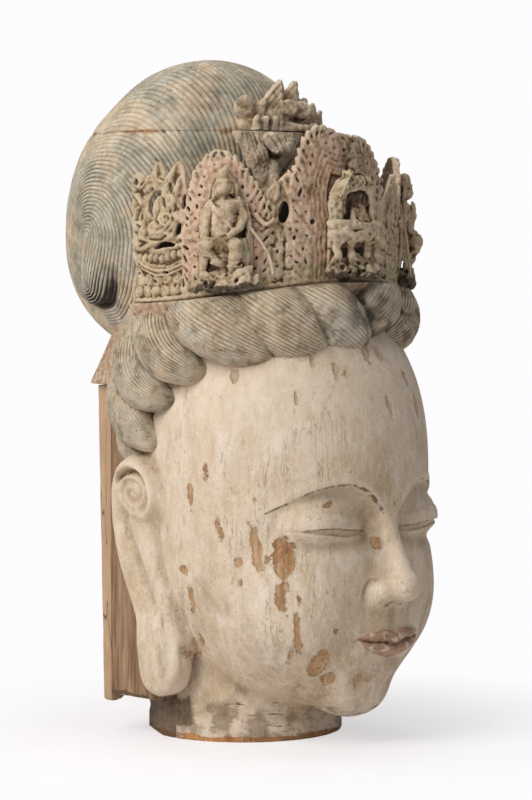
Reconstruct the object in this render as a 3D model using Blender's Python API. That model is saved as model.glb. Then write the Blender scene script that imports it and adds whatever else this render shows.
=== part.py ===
"""Carved and painted wooden bodhisattva head on a flat-cut neck.

Four pieces of wood: the head block with the neck, ears, twisted hair roll and
the lower part of the tall chignon; the block that caps the chignon above the
level joint; the pierced crown; and the plank that closes the back.

Lengths inside the form functions are millimetres; the meshes are scaled to
metres. +Z is up, the face looks along -Y, and the origin is the centre of the
neck's flat underside. Each carved form is an implicit surface put together
from ellipsoids, tapered rods and leaf outlines with soft joins, sampled on a
grid and turned into one closed skin of quads, which is then thinned out.
"""
import bpy
import numpy as np

# ---------------------------------------------------------------- dimensions
MM = 0.001
NECK_R = (87.0, 86.0)      # half width and half depth of the neck stub
BACK_Y = 66.0              # flat back of the head block
JOINT_Z = 538.0            # level joint through the chignon
GAP = 0.3                  # between neighbouring pieces
EAR_X = 120.0              # plane of the ears, from the middle
BOARD = dict(half=105.0, front=66.7, back=77.0, foot=30.0, top=312.6, lean=6.5)
R0 = 130.0                 # inner face of the crown, from the ring's axis
AX_Y = -7.0                # the ring's axis
DEG = R0 * np.pi / 180.0

# triangles kept on each piece
BUDGET = dict(head=5400, chignon_top=850, crown=3450)
GRID = dict(head=3.0, chignon_top=2.5, crown=1.6)

# ------------------------------------------------------------- soft geometry
def smin(a, b, k):
    h = np.maximum(k - np.abs(a - b), 0.0) / k
    return np.minimum(a, b) - h * h * k * 0.25


def smax(a, b, k):
    return -smin(-a, -b, k)


def ell(x, y, z, c, r):
    px, py, pz = (x - c[0]) / r[0], (y - c[1]) / r[1], (z - c[2]) / r[2]
    k0 = np.sqrt(px * px + py * py + pz * pz) + 1e-9
    k1 = np.sqrt((px / r[0]) ** 2 + (py / r[1]) ** 2 + (pz / r[2]) ** 2) + 1e-9
    return k0 * (k0 - 1.0) / k1


def capsule(x, y, z, a, b, ra, rb=None):
    rb = ra if rb is None else rb
    ax, ay, az = a
    dx, dy, dz = b[0] - ax, b[1] - ay, b[2] - az
    L = dx * dx + dy * dy + dz * dz + 1e-12
    t = np.clip(((x - ax) * dx + (y - ay) * dy + (z - az) * dz) / L, 0, 1)
    qx, qy, qz = x - ax - t * dx, y - ay - t * dy, z - az - t * dz
    return np.sqrt(qx * qx + qy * qy + qz * qz) - (ra + (rb - ra) * t)


def sstep(a, b, v):
    t = np.clip((v - a) / (b - a), 0, 1)
    return t * t * (3 - 2 * t)


def gauss(v, s):
    return np.exp(-(v / s) ** 2)


def chain(x, y, z, pts, radii, k):
    f = None
    for a, b, ra, rb in zip(pts[:-1], pts[1:], radii[:-1], radii[1:]):
        c = capsule(x, y, z, a, b, ra, rb)
        f = c if f is None else smin(f, c, k)
    return f


def curve(fn, n):
    return [fn(u) for u in np.linspace(0, 1, n)]


# --------------------------------------------------- grid to a skin of quads
CORNERS = [(i & 1, (i >> 1) & 1, (i >> 2) & 1) for i in range(8)]


def _split_masks():
    """cell patterns whose solid or empty corners don't hang together"""
    bad = np.zeros(256, bool)
    for m in range(1, 255):
        for want in (0, 1):
            left = [i for i in range(8) if (m >> i) & 1 == want]
            seen, todo = {left[0]}, [left[0]]
            while todo:
                a = todo.pop()
                for b in left:
                    if b not in seen and bin(a ^ b).count("1") == 1:
                        seen.add(b)
                        todo.append(b)
            if len(seen) < len(left):
                bad[m] = True
    return bad


BAD = _split_masks()


def tidy(F, h, rounds=40):
    """fill the cells where the skin would touch itself"""
    nx, ny, nz = F.shape
    for _ in range(rounds):
        S = F < 0
        m = np.zeros((nx - 1, ny - 1, nz - 1), np.uint8)
        for b, (i, j, k) in enumerate(CORNERS):
            m |= (S[i:nx - 1 + i, j:ny - 1 + j, k:nz - 1 + k].astype(np.uint8) << b)
        I, J, K = np.nonzero(BAD[m])
        if len(I) == 0:
            break
        for i, j, k in CORNERS:
            F[I + i, J + j, K + k] = np.minimum(F[I + i, J + j, K + k], -0.3 * h)
    e = 0.08 * h
    return np.where(np.abs(F) < e, np.where(F < 0, -e, e), F)


def surface_nets(F, lo, h):
    F = tidy(F.astype(np.float32).copy(), h)
    S = F < 0
    nx, ny, nz = F.shape
    cnt = np.zeros((nx - 1, ny - 1, nz - 1), np.int8)
    for i, j, k in CORNERS:
        cnt += S[i:nx - 1 + i, j:ny - 1 + j, k:nz - 1 + k]
    act = (cnt > 0) & (cnt < 8)
    I, J, K = np.nonzero(act)
    idx = -np.ones(act.shape, np.int64)
    idx[I, J, K] = np.arange(len(I))
    val = [F[I + i, J + j, K + k].astype(np.float64) for i, j, k in CORNERS]
    acc = np.zeros((len(I), 3))
    num = np.zeros(len(I))
    for a in range(8):
        for b in range(a + 1, 8):
            if bin(a ^ b).count("1") != 1:
                continue
            ca, cb = np.array(CORNERS[a], float), np.array(CORNERS[b], float)
            m = (val[a] < 0) != (val[b] < 0)
            t = np.where(m, val[a] / np.where(m, val[a] - val[b], 1), 0)
            acc += np.where(m[:, None], ca + t[:, None] * (cb - ca), 0)
            num += m
    P = (np.stack([I, J, K], 1) + acc / num[:, None]) * h + np.asarray(lo)
    quads = []
    for ax in range(3):
        u, v = (ax + 1) % 3, (ax + 2) % 3
        s0, s1 = [slice(1, -1)] * 3, [slice(1, -1)] * 3
        s0[ax], s1[ax] = slice(0, F.shape[ax] - 1), slice(1, F.shape[ax])
        A, B = S[tuple(s0)], S[tuple(s1)]
        m = A != B
        g = np.array(np.nonzero(m)).T
        g[:, u] += 1
        g[:, v] += 1

        def cell(du, dv):
            c = g.copy()
            c[:, u] += du
            c[:, v] += dv
            return idx[c[:, 0], c[:, 1], c[:, 2]]
        q = np.stack([cell(-1, -1), cell(0, -1), cell(0, 0), cell(-1, 0)], 1)
        flip = ~A[m]
        q[flip] = q[flip][:, ::-1]
        quads.append(q)
    return P, np.concatenate(quads)


def grid_eval(fn, lo, hi, h, coarse=4):
    """values of fn on a grid, exact only near its zero surface"""
    lo, hi = np.asarray(lo, float), np.asarray(hi, float)
    n = np.ceil((hi - lo) / (h * coarse)).astype(int)
    H = h * coarse
    ax = [lo[a] + np.arange(n[a] + 1) * H for a in range(3)]
    X, Y, Z = np.meshgrid(*ax, indexing="ij")
    C = fn(X.ravel(), Y.ravel(), Z.ravel()).reshape(X.shape)
    nf = n * coarse
    ii = [np.clip(np.round(np.arange(nf[a] + 1) / coarse).astype(int), 0, n[a]) for a in range(3)]
    F = C[np.ix_(*ii)].astype(np.float32)
    near_c = np.abs(C) < H * 1.75
    near = np.zeros(tuple(n), bool)
    for i, j, k in CORNERS:
        near |= near_c[i:n[0] + i, j:n[1] + j, k:n[2] + k]
    done = np.zeros(F.shape, bool)
    I, J, K = np.nonzero(near)
    r = np.arange(coarse + 1)
    ox, oy, oz = (o.ravel()[None] for o in np.meshgrid(r, r, r, indexing="ij"))
    done[(I[:, None] * coarse + ox), (J[:, None] * coarse + oy), (K[:, None] * coarse + oz)] = True
    gi, gj, gk = np.nonzero(done)
    out = np.empty(len(gi), np.float32)
    for s in range(0, len(gi), 400000):
        e = slice(s, s + 400000)
        out[e] = fn(lo[0] + gi[e] * h, lo[1] + gj[e] * h, lo[2] + gk[e] * h)
    F[gi, gj, gk] = out
    return F, lo


# ------------------------------------------------ head, face, neck and ears
def face_core(x, y, z):
    ax = np.abs(x)
    up = z > 240
    tz = np.where(up, (z - 240) / 168.0, (240 - z) / 217.0)
    G = (ax / 121.0) ** 2.15 + (np.abs(y + 50) / 128.0) ** 2.15 + np.abs(tz) ** np.where(up, 2.3, 2.75)
    f = (G ** (1 / 2.2) - 1) * 112.0
    # full cheeks and the round chin
    f = smin(f, ell(ax, y, z, (50, -112, 128), (44, 50, 56)), 34)
    f = smin(f, ell(x, y, z, (0, -126, 54), (33, 29, 27)), 26)
    f = smin(f, ell(x, y, z, (0, -122, 92), (40, 44, 34)), 26)
    return f


def face(x, y, z):
    ax = np.abs(x)
    f = face_core(x, y, z)
    # hollow below the brow, running to the root of the nose
    sock = ell(ax, y, z, (53, -193, 204), (45, 31, 22.5))
    f = smax(f, -sock, 8)
    f = smax(f, -ell(ax, y, z, (20, -184, 198), (11, 15, 22)), 9)
    # nose
    nose = capsule(x, y, z, (0, -165, 219), (0, -195, 150), 7.0, 9.5)
    nose = smin(nose, capsule(x, y, z, (0, -160, 205), (0, -178, 145), 9.0, 17.0), 6)
    nose = smin(nose, ell(x, y, z, (0, -196, 143), (14.5, 14.5, 12.5)), 7)
    nose = smin(nose, ell(ax, y, z, (16.5, -181, 139), (10.5, 15, 10.5)), 5)
    f = smin(f, nose, 8)
    f = smax(f, -ell(ax, y, z, (9, -190, 128.6), (4.6, 8.0, 4.6)), 2.5)
    f = smax(f, -capsule(ax, y, z, (26.5, -168, 148), (30, -160, 131), 2.2), 5)
    # eyeball under the lids
    C, R = (52, -142, 200), (39, 31.5, 20.5)
    ball = ell(ax, y, z, C, R)
    t = (ax - 52) / 35.0
    zu = 196.0 - 3.0 * t * t + 1.6 * t
    zl = 189.5 + 3.2 * t * t + 1.6 * t - 0.8 * gauss(t + 0.1, 0.5)
    front = sstep(-112, -124, y)
    inl = sstep(1.25, 0.85, np.abs(t))
    # the upper lid stands proud of the lower
    lidup = 2.0 * sstep(zu - 1.2, zu + 0.4, z) * sstep(zu + 17, zu + 3, z) * inl
    f = smin(f, ball - lidup * front, 4)
    slit = np.maximum(zl - z, z - zu)
    f = smax(f, -np.maximum(slit, y + 118), 1.4)
    f = np.minimum(f, smax(ell(ax, y, z, C, (R[0] - 4.2, R[1] - 4.4, R[2] - 4)), slit - 3, 1.0))
    # crease above the upper lid
    zc = zu + 9.5 + 1.5 * (1 - t * t)
    cre = np.sqrt((z - zc) ** 2 + np.clip(f, -50, 50) ** 2) - 1.0
    m = sstep(1.2, 0.9, np.abs(t)) * front
    f = np.where(m > 0, smax(f, -(cre + (1 - m) * 6), 1.6), f)
    # philtrum, lips and the fold below them
    f = smin(f, ell(x, y, z, (0, -146, 99), (41, 33, 27)), 12)
    f = smax(f, -capsule(x, y, z, (0, -187, 127), (0, -185, 110), 3.2, 4.4), 4)
    f = smin(f, ell(ax, y, z, (12, -166, 100.5), (20, 17.5, 7.6)), 3)
    f = smin(f, ell(x, y, z, (0, -171, 100.8), (8, 15, 6)), 3)
    f = smin(f, ell(ax, y, z, (8.5, -166, 86.5), (19, 16.5, 8.8)), 3.5)
    zm = 93.6 + 0.0040 * ax * ax - 1.3 * gauss(ax, 6) + 0.9 * gauss(ax - 14, 8)
    ml = np.sqrt((z - zm) ** 2 + (np.clip(f, -30, 30) * 0.45) ** 2) - 1.2
    mm = sstep(37, 32, ax) * front
    f = np.where(mm > 0, smax(f, -(ml + (1 - mm) * 5), 1.8), f)
    f = smax(f, -ell(ax, y, z, (37, -166, 96.5), (4.5, 8, 5)), 6)
    f = smax(f, -ell(x, y, z, (0, -178, 71.5), (24, 13, 6.5)), 9)
    return f


def neck(x, y, z):
    r = np.sqrt((x / NECK_R[0]) ** 2 + (y / NECK_R[1]) ** 2 + 1e-9)
    f = (r - 1) * 86.5
    fold = 1.6 * gauss(z - 17 - 0.0008 * x * x, 4.0)
    f = f + fold - 1.5
    f = np.maximum(f, z - 120)
    return f


def ear(x, y, z):
    ax = np.abs(x)
    P = lambda yy, zz, out=0.0: (EAR_X - 3 + 0.03 * (zz - 150) + out, yy, zz)
    # plate
    f = ell(ax, y, z, P(18, 208, -9), (13, 31, 46))
    f = smin(f, ell(ax, y, z, P(14, 145, -14), (13, 24, 60)), 12)
    # outer rim, from the front of the bowl over the top and down the back
    rim = []
    for th in np.radians(np.linspace(20, 190, 12)):
        rim.append(P(21 - 27.5 * np.cos(th) + 2, 217 + 31 * np.sin(th), 3))
    rim += [P(44.5, 190, 3), P(40, 165, 3), P(33, 140, 2), P(25, 118, 0), P(14, 95, -2)]
    rr = [4.5] + [6.0] * 10 + [6.5] * 3 + [7.5, 8.5, 9.5]
    f = smin(f, chain(ax, y, z, rim, rr[:len(rim)], 3), 4)
    # spiral bowl
    sp = []
    for i in range(15):
        th = np.radians(115 - i * 27)
        r = 23.5 - 1.25 * i
        sp.append(P(20 - r * np.cos(th), 213 + r * np.sin(th) * 0.95, 3.5 - 0.15 * i))
    f = smax(f, -ell(ax, y, z, P(20, 214, 6), (9, 25, 25)), 3)
    f = smin(f, chain(ax, y, z, sp, [6.2 - 0.22 * i for i in range(15)], 2), 2.5)
    # long hollow behind the cheek
    f = smax(f, -capsule(ax, y, z, P(24, 178, 6), P(10, 128, 4), 9, 4.5), 6)
    # lobe
    f = smin(f, ell(ax, y, z, P(-3, 72, -7), (13.5, 25.5, 35)), 12)
    return f


def head_all(x, y, z):
    f = face(x, y, z)
    e = ear(x, y, z)
    # gap between the lobe and the jaw
    f = smin(f, e, 7)
    f = smax(f, -ell(np.abs(x), y, z, (101, -33, 78), (9, 3.2, 21)), 3)
    f = smin(f, neck(x, y, z), 7)
    # raw back of the block
    f = np.where(z > 34, np.minimum(f, np.maximum(np.maximum(np.abs(x) - 105, y - 66), np.maximum(-y, np.maximum(34 - z, z - 300)))), f)
    f = smax(f, y - BACK_Y, 2)
    f = np.maximum(f, -z)
    # side cut of the neck, at the rear
    f = np.where(z < 34, smax(f, -0.86 * x + 0.51 * y - 84, 1.5), f)
    return f


# ------------------------------------------------------ hair, cap and chignon
# twisted roll: lobes as (angle from the front, height, out from the axis) along each, and radii
LOBES = {
    "roll_a": ([(65, 385, 112), (57, 373, 124), (47, 361, 128), (37, 351, 124), (31, 347, 118)], (16, 24, 27, 24, 14)),
    "roll_b": ([(40, 388, 116), (33, 375, 130), (26, 364, 133), (20, 354, 129)], (13, 20, 22, 15)),
    "roll_c": ([(22, 389, 118), (16, 376, 131), (10, 364, 134), (3, 353, 130)], (14, 20, 23, 17)),
    "roll_d": ([(-44, 386, 114), (-33, 373, 128), (-20, 363, 132), (-7, 354, 130)], (16, 25, 26, 17)),
    "roll_e": ([(-76, 384, 108), (-66, 372, 122), (-55, 360, 126), (-44, 350, 120)], (16, 24, 26, 15)),
}
SIDES = {
    "side_a": ([(79, 376, 104), (82, 352, 113), (79, 336, 116), (68, 328, 118)], (18, 22, 21, 11)),
    "side_b": ([(96, 360, 106), (97, 334, 114), (91, 315, 115), (78, 306, 111)], (20, 24, 21, 10)),
    "side_c": ([(109, 322, 112), (106, 298, 114), (98, 282, 113), (84, 273, 111)], (18, 21, 18, 9)),
}


def place(th, z, rho):
    a = np.radians(th)
    return (-rho * np.sin(a), AX_Y - rho * np.cos(a), z)


def lobe(x, y, z, ctrl, rad):
    return chain(x, y, z, [place(*c) for c in ctrl], rad, 6)


def roll(x, y, z):
    f = None
    for c, r in LOBES.values():
        l = lobe(x, y, z, c, r)
        f = l if f is None else smin(f, l, 2.5)
    for c, r in SIDES.values():
        f = smin(f, lobe(-np.abs(x), y, z, c, r), 2.5)
    return f


def cap(x, y, z):
    """sloping seat of the crown, with an eave over the back"""
    q = ((np.abs(x) / 112.0) ** 4 + (np.abs(y + 17) / 114.0) ** 4 + 1e-9) ** 0.25
    f = (q - 1) * 112 + (z - 314) * 0.33
    th = np.degrees(np.arctan2(-x, -(y - AX_Y)))
    top = base_line(th) - 0.9
    # collar below the crown, flaring outward as it rises
    rho = np.hypot(x, y - AX_Y)
    collar = (rho - 135.5 + 0.62 * np.clip(top - z, 0, 60)) * 0.85
    collar = smax(collar, np.maximum(345 - z, (np.abs(th) - 98.5) * 2.2), 3)
    f = smin(f, collar, 5)
    f = smax(f, z - top, 1.5)
    return smax(f, 314 - z, 3)


def chignon(x, y, z):
    """two swelling lobes of drawn-up hair, with a coil on each side"""
    dz = z - 445
    rz = np.where(dz > 0, 150.0, 116.0)
    ry = np.where(y > 50, 131.0, 88.0)
    G = (np.abs(x) / 122.0) ** 2.1 + (np.abs(y - 50) / ry) ** 2.1 + (np.abs(dz) / rz) ** 2.25
    lo = (G ** (1 / 2.2) - 1) * 122.0
    uy = y - 42
    py = np.where(uy > 0, uy / 97.0, uy / 78.0)
    k0 = np.sqrt((x / 96.0) ** 2 + py ** 2 + ((z - 529) / 77.0) ** 2 + 1e-9)
    up = (k0 - 1) * 84
    return smin(lo, up, 5)


# front crest of the chignon: (from point, to point, from radius, to radius)
CREST = [((-38, -30, 545), (-40, -36, 556), 9.5, 7.5), ((-23, -36, 544), (-22, -45, 563), 8.0, 2.0),
         ((-7, -40, 545), (-6, -49, 576), 9.5, 1.2), ((14, -42, 545), (14, -49, 576), 9.5, 1.2),
         ((0, -44, 545), (4, -52, 562), 7.0, 2.0), ((32, -40, 545), (31, -48, 566), 8.5, 2.0),
         ((45, -34, 545), (52, -37, 558), 7.0, 1.5)]


def crest(x, y, z):
    """row of petals at the front of the chignon, with two round bosses over a bowl"""
    f = ell(x, y, z, (4, -30, 549), (46, 17, 17))
    for a, b, ra, rb in CREST:
        f = smin(f, capsule(x, y, z, a, b, ra, rb), 2)
    f = smin(f, ell(x, y, z, (23, -46, 540), (21, 11, 7)), 2)
    f = smax(f, -ell(x, y, z, (23, -58, 547.5), (12, 9, 4)), 1)
    for c in ((13, -55, 555), (30, -51, 554.5)):
        f = smin(f, ell(x, y, z, c, (6, 4, 6)), 0.8)
    return f


def stem(x, y, z):
    """leaves and a bound bud that hang from the crest on the chignon's front"""
    f = chain(x, y, z, [(-5, -36, 536), (-6, -44, 505), (-7, -56, 474)], (7, 5.5, 6.5), 3)
    for q, w in ((-1, 0), (1, 4)):
        f = smin(f, chain(x, y, z, [(q * 12, -36, 534), (q * (26 + w), -40, 516), (q * (20 + w), -45, 494), (q * 9, -54, 476)], (6, 9, 7, 3), 4), 2)
    f = smin(f, ell(x, y, z, (-5, -46, 521), (10, 9, 9)), 2)
    f = smax(f, -ell(x, y, z, (-5, -53, 511), (8, 6, 3.5)), 1.5)
    for x0 in (-23, -8, 22):
        f = smin(f, capsule(x, y, z, (x0, -37, 528), (x0, -38, 545), 4.2, 4.2), 1)
    return f


def head_block(x, y, z):
    f = head_all(x, y, z)
    f = np.minimum(f, cap(x, y, z))
    f = np.minimum(f, roll(x, y, z))
    # room for the crown above its seat
    th = np.degrees(np.arctan2(-x, -(y - AX_Y)))
    rho = np.hypot(x, y - AX_Y)
    room = np.maximum(np.maximum(122 - rho, base_line(th) - 0.9 - z), (np.abs(th) - 99) * 2)
    f = np.maximum(f, -room)
    f = np.minimum(f, smin(chignon(x, y, z), stem(x, y, z), 2))
    return np.maximum(f, z - JOINT_Z)


def chignon_cap(x, y, z):
    f = smin(chignon(x, y, z), np.minimum(crest(x, y, z), stem(x, y, z)), 2)
    return np.maximum(f, JOINT_Z + 0.3 - z)


# ------------------------------------------------------------- pierced crown
def base_line(th):
    """height of the crown's lower edge at an angle (degrees) from the front"""
    return 387.0 + 19.0 * (0.5 + 0.5 * np.cos(np.radians(np.clip(np.abs(th), 0, 100) * 1.8)))


class Canvas:
    """Signed-distance block of the unrolled crown: s along the ring, t up, w outward."""

    def __init__(self, s, t, w, h):
        self.h = h
        self.lo = np.array([s[0], t[0], w[0]], float)
        n = [int(round((b - a) / h)) + 1 for a, b in (s, t, w)]
        self.ax = [self.lo[i] + np.arange(n[i]) * h for i in range(3)]
        self.F = np.full(n, 6.0, np.float32)

    def _sl(self, lo, hi, pad):
        out = []
        for i in range(3):
            a = max(0, int(np.floor((lo[i] - pad - self.lo[i]) / self.h)))
            b = min(len(self.ax[i]), int(np.ceil((hi[i] + pad - self.lo[i]) / self.h)) + 1)
            if b <= a:
                return None
            out.append(slice(a, b))
        return tuple(out)

    def stamp(self, fn, lo, hi, k=1.0, cut=False):
        pad = k + 2.5 * self.h
        sl = self._sl(lo, hi, pad)
        if sl is None:
            return
        S = self.ax[0][sl[0]][:, None, None]
        T = self.ax[1][sl[1]][None, :, None]
        W = self.ax[2][sl[2]][None, None, :]
        v = fn(S, T, W)
        f = self.F[sl]
        if cut:
            self.F[sl] = smax(f, -v, k)
        else:
            self.F[sl] = smin(f, v, k)

    def ball(self, c, r, k=1.0, cut=False, tilt=0.0):
        r = (r, r, r) if np.isscalar(r) else r
        m = max(r[0], r[1]) if tilt else None
        lo = [c[0] - (m or r[0]), c[1] - (m or r[1]), c[2] - r[2]]
        hi = [c[0] + (m or r[0]), c[1] + (m or r[1]), c[2] + r[2]]
        if tilt:
            ca, sa = np.cos(np.radians(tilt)), np.sin(np.radians(tilt))
            fn = lambda s, t, w: ell((s - c[0]) * ca + (t - c[1]) * sa, -(s - c[0]) * sa + (t - c[1]) * ca, w - c[2], (0, 0, 0), r)
        else:
            fn = lambda s, t, w: ell(s, t, w, c, r)
        self.stamp(fn, lo, hi, k, cut)

    def tube(self, pts, r, k=1.0, cut=False):
        pts = [tuple(p) for p in pts]
        rr = [r] * len(pts) if np.isscalar(r) else list(r)
        for a, b, ra, rb in zip(pts[:-1], pts[1:], rr[:-1], rr[1:]):
            m = max(ra, rb)
            lo = [min(a[i], b[i]) - m for i in range(3)]
            hi = [max(a[i], b[i]) + m for i in range(3)]
            self.stamp(lambda s, t, w: capsule(s, t, w, a, b, ra, rb), lo, hi, k, cut)

    def plate(self, f2, box, w0, w1, k=0.8, cut=False, edge=0.8):
        """f2(s, t) signed outline, between depths w0 and w1"""
        c, hw = (w0 + w1) / 2, (w1 - w0) / 2
        lo, hi = [box[0], box[2], w0], [box[1], box[3], w1]
        self.stamp(lambda s, t, w: smax(f2(s, t), np.abs(w - c) - hw, edge), lo, hi, k, cut)


def spiral(cv, c, r0, turns, start, w, thick, hand=1, k=0.8, lift=0.0):
    n = max(6, int(10 * turns))
    pts, rad = [], []
    for i in range(n + 1):
        u = i / n
        a = np.radians(start) + hand * u * turns * 2 * np.pi
        r = r0 * (1 - u) ** 0.9 + thick * 0.3
        pts.append((c[0] + r * np.cos(a), c[1] + r * np.sin(a), w + lift * u))
        rad.append(thick * (1 - 0.25 * u))
    cv.tube(pts, rad, k)


def flame(cv, p, ang, L, wd, w, depth=3.0, k=0.8, bend=0.35):
    """one flame tongue: a curved drop, from its root p along ang (degrees)"""
    n = 6
    a = np.radians(ang)
    pts, rad = [], []
    for i in range(n + 1):
        u = i / n
        aa = a + bend * u
        if i == 0:
            q = np.array([p[0], p[1]], float)
        else:
            q = q + L / n * np.array([np.cos(aa), np.sin(aa)])
        pts.append((q[0], q[1], w))
        rad.append(wd * (1 - u) ** 0.75 + 0.35)
    cv.tube(pts, rad, k)


def seated(cv, s0, t0, sc=1.0, pendant=False, worn=False, fine=True, k=1.0):
    """small seated figure on a flower base; t0 is the base's foot"""
    P = lambda a, t, w: (s0 + a * sc, t0 + t * sc, w * sc + 1.0)
    # flower and cloud base
    cv.ball(P(0, 8, 10), (27 * sc, 8 * sc, 12 * sc), 2)
    cv.ball(P(0, 15, 10), (24 * sc, 6 * sc, 12 * sc), 2)
    for i in range(9):
        a = -26 + 52 * i / 8
        dw = 12 * np.sqrt(max(0, 1 - (a / 30) ** 2))
        cv.ball(P(a, 5.5, 9 + dw * 0.9), (4.0 * sc, 5.0 * sc, 3.4 * sc), 0.6)
        if i < 8:
            a2 = a + 3.2
            cv.ball(P(a2, 15, 9 + dw * 0.9), (3.6 * sc, 4.6 * sc, 3.0 * sc), 0.6)
    if pendant:
        cv.ball(P(0, 33, 11), (17 * sc, 9 * sc, 10 * sc), 3)
        for q in (-1, 1):
            cv.tube([P(q * 8, 38, 12), P(q * 11, 40, 22), P(q * 10, 22, 20)], [6.5 * sc, 6.2 * sc, 4.6 * sc], 1.5)
            cv.ball(P(q * 10, 19, 23), (4 * sc, 2.8 * sc, 5.5 * sc), 1)
        hip = 36
    else:
        cv.ball(P(0, 33, 12), (25 * sc, 6.5 * sc, 11 * sc), 2)
        for q in (-1, 1):
            cv.ball(P(q * 17, 34, 14), (9.5 * sc, 7 * sc, 9 * sc), 2)
        cv.tube([P(-16, 33, 21), P(10, 30, 24)], [5 * sc, 4 * sc], 1.2)
        cv.tube([P(16, 33, 21), P(-9, 31, 25)], [5 * sc, 3.6 * sc], 1.0)
        hip = 34
    # body
    cv.ball(P(0, hip + 12, 8.5), (10.5 * sc, 17 * sc, 7.5 * sc), 2)
    cv.ball(P(0, hip + 28, 9), (13.5 * sc, 8.5 * sc, 7 * sc), 3)
    for q in (-1, 1):
        cv.tube([P(q * 13, hip + 30, 9), P(q * 16.5, hip + 14, 10), P(q * 9, hip + 5, 18)], [4.3 * sc, 3.8 * sc, 3.0 * sc], 1.2)
    cv.tube([P(0, hip + 34, 9.5), P(0, hip + 41, 10)], 3.6 * sc, 1.5)
    cv.ball(P(0, hip + 48, 11), (7.6 * sc, 9.2 * sc, 7.8 * sc), 1)
    cv.ball(P(0, hip + 55, 9), (8.4 * sc, 5.0 * sc, 7.6 * sc), 1)
    cv.ball(P(0, hip + 62, 8.5), (4.6 * sc, 6 * sc, 4.6 * sc), 1.2)
    if fine:
        for q in (-1, 1):
            cv.ball(P(q * 7.8, hip + 46, 9.5), (1.6 * sc, 5 * sc, 2.4 * sc), 0.5)
            cv.ball(P(q * 3.0, hip + 50.3, 17.6), (2.1 * sc, 0.8 * sc, 1.4 * sc), 0.4, cut=True)
        cv.tube([P(0, hip + 51, 18.2), P(0, hip + 47, 19.6)], [0.9 * sc, 1.3 * sc], 0.5)
        cv.ball(P(0, hip + 43.6, 18.2), (2.2 * sc, 0.7 * sc, 1.2 * sc), 0.4, cut=True)
        # scarf and folds
        for q in (-1, 1):
            cv.tube(curve(lambda u: P(q * (11 - 8 * u), hip + 35 - 27 * u, 13 + 5 * np.sin(np.pi * u)), 7), 1.3 * sc, 0.5)
        for i in range(4):
            cv.tube(curve(lambda u: P(-9 + 18 * u, hip + 2 + i * 4.5 - 3.2 * np.sin(np.pi * u), 15.6 - 2.2 * abs(2 * u - 1) - i * 0.7), 7), 0.8 * sc, 0.5)
        for q in (-1, 1):
            for i in range(3):
                if pendant:
                    cv.tube([P(q * (6 + 3.2 * i), 37, 25.5 - 0.8 * i), P(q * (7 + 2.4 * i), 24, 24 - 0.8 * i)], 0.7 * sc, 0.5, cut=True)
                else:
                    cv.tube([P(q * (22 - 5 * i), 38 - i, 20 + 1.4 * i), P(q * (10 - 5 * i), 29, 26)], 0.7 * sc, 0.5, cut=True)
    if worn:
        cv.ball(P(1, hip + 19, 19), (13 * sc, 8 * sc, 10.5 * sc), 1.5, cut=True)
        cv.ball(P(-6, 25, 24), (12 * sc, 3.2 * sc, 9 * sc), 1.5, cut=True)


def arch_outline(s0, t0, t1, half, belly=0.42, power=1.7):
    """pointed leaf outline of a mandorla, signed in mm (approximate)"""
    H = t1 - t0
    def f(s, t):
        u = np.clip((t - t0) / H, -0.2, 1.3)
        wd = half * np.where(u < belly, np.sqrt(np.clip(1 - ((belly - u) / (belly + 0.32)) ** 2, 0.02, 1)), np.clip(1 - (np.clip(u - belly, 0, 1) / (1 - belly)) ** power, -0.2, 1))
        d = (np.abs(s - s0) - wd) * 0.82
        return np.maximum(d, np.maximum(t0 - t, t - t1))
    return f


def mandorla(cv, s0, t0, t1, half, w, rows, fine, k=0.8):
    """leaf-shaped plate with a ring of flames and pierced drops between them"""
    H = t1 - t0
    f = arch_outline(s0, t0, t1, half * 0.86)
    cv.plate(f, (s0 - half, s0 + half, t0, t1), w - 2.6, w + 1.6, 1)
    # inner rims
    for sc in (0.60, 0.50):
        g = arch_outline(s0, t0, t0 + H * (0.55 + 0.4 * sc), half * sc)
        cv.plate(lambda s, t: np.abs(g(s, t)) - (1.1 if fine else 1.3), (s0 - half, s0 + half, t0, t1), w + 1, w + 3.4, 0.6)
    # flames around the outline
    for q in (-1, 1):
        for i in range(rows):
            u = (i + 0.6) / rows
            t = t0 + H * (0.10 + 0.80 * u)
            b = 0.42
            uu = (t - t0) / H
            wd = half * (np.sqrt(max(0.02, 1 - ((b - uu) / (b + 0.32)) ** 2)) if uu < b else max(0.05, 1 - ((uu - b) / (1 - b)) ** 1.7))
            lean = 35 + 50 * u
            flame(cv, (s0 + q * (wd * 0.70), t - 7), 90 - q * (90 - lean), half * 0.36 + 3, 3.1, w + 1.2, bend=q * 0.9, k=0.7)
            if wd > 12:
                cv.ball((s0 + q * wd * 0.74, t - 1.5, w), (1.5, 3.6, 6), 0.5, cut=True, tilt=-q * 28)
    flame(cv, (s0, t1 - 16), 90, 18, 4, w + 1, bend=0.0, k=0.8)


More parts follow.
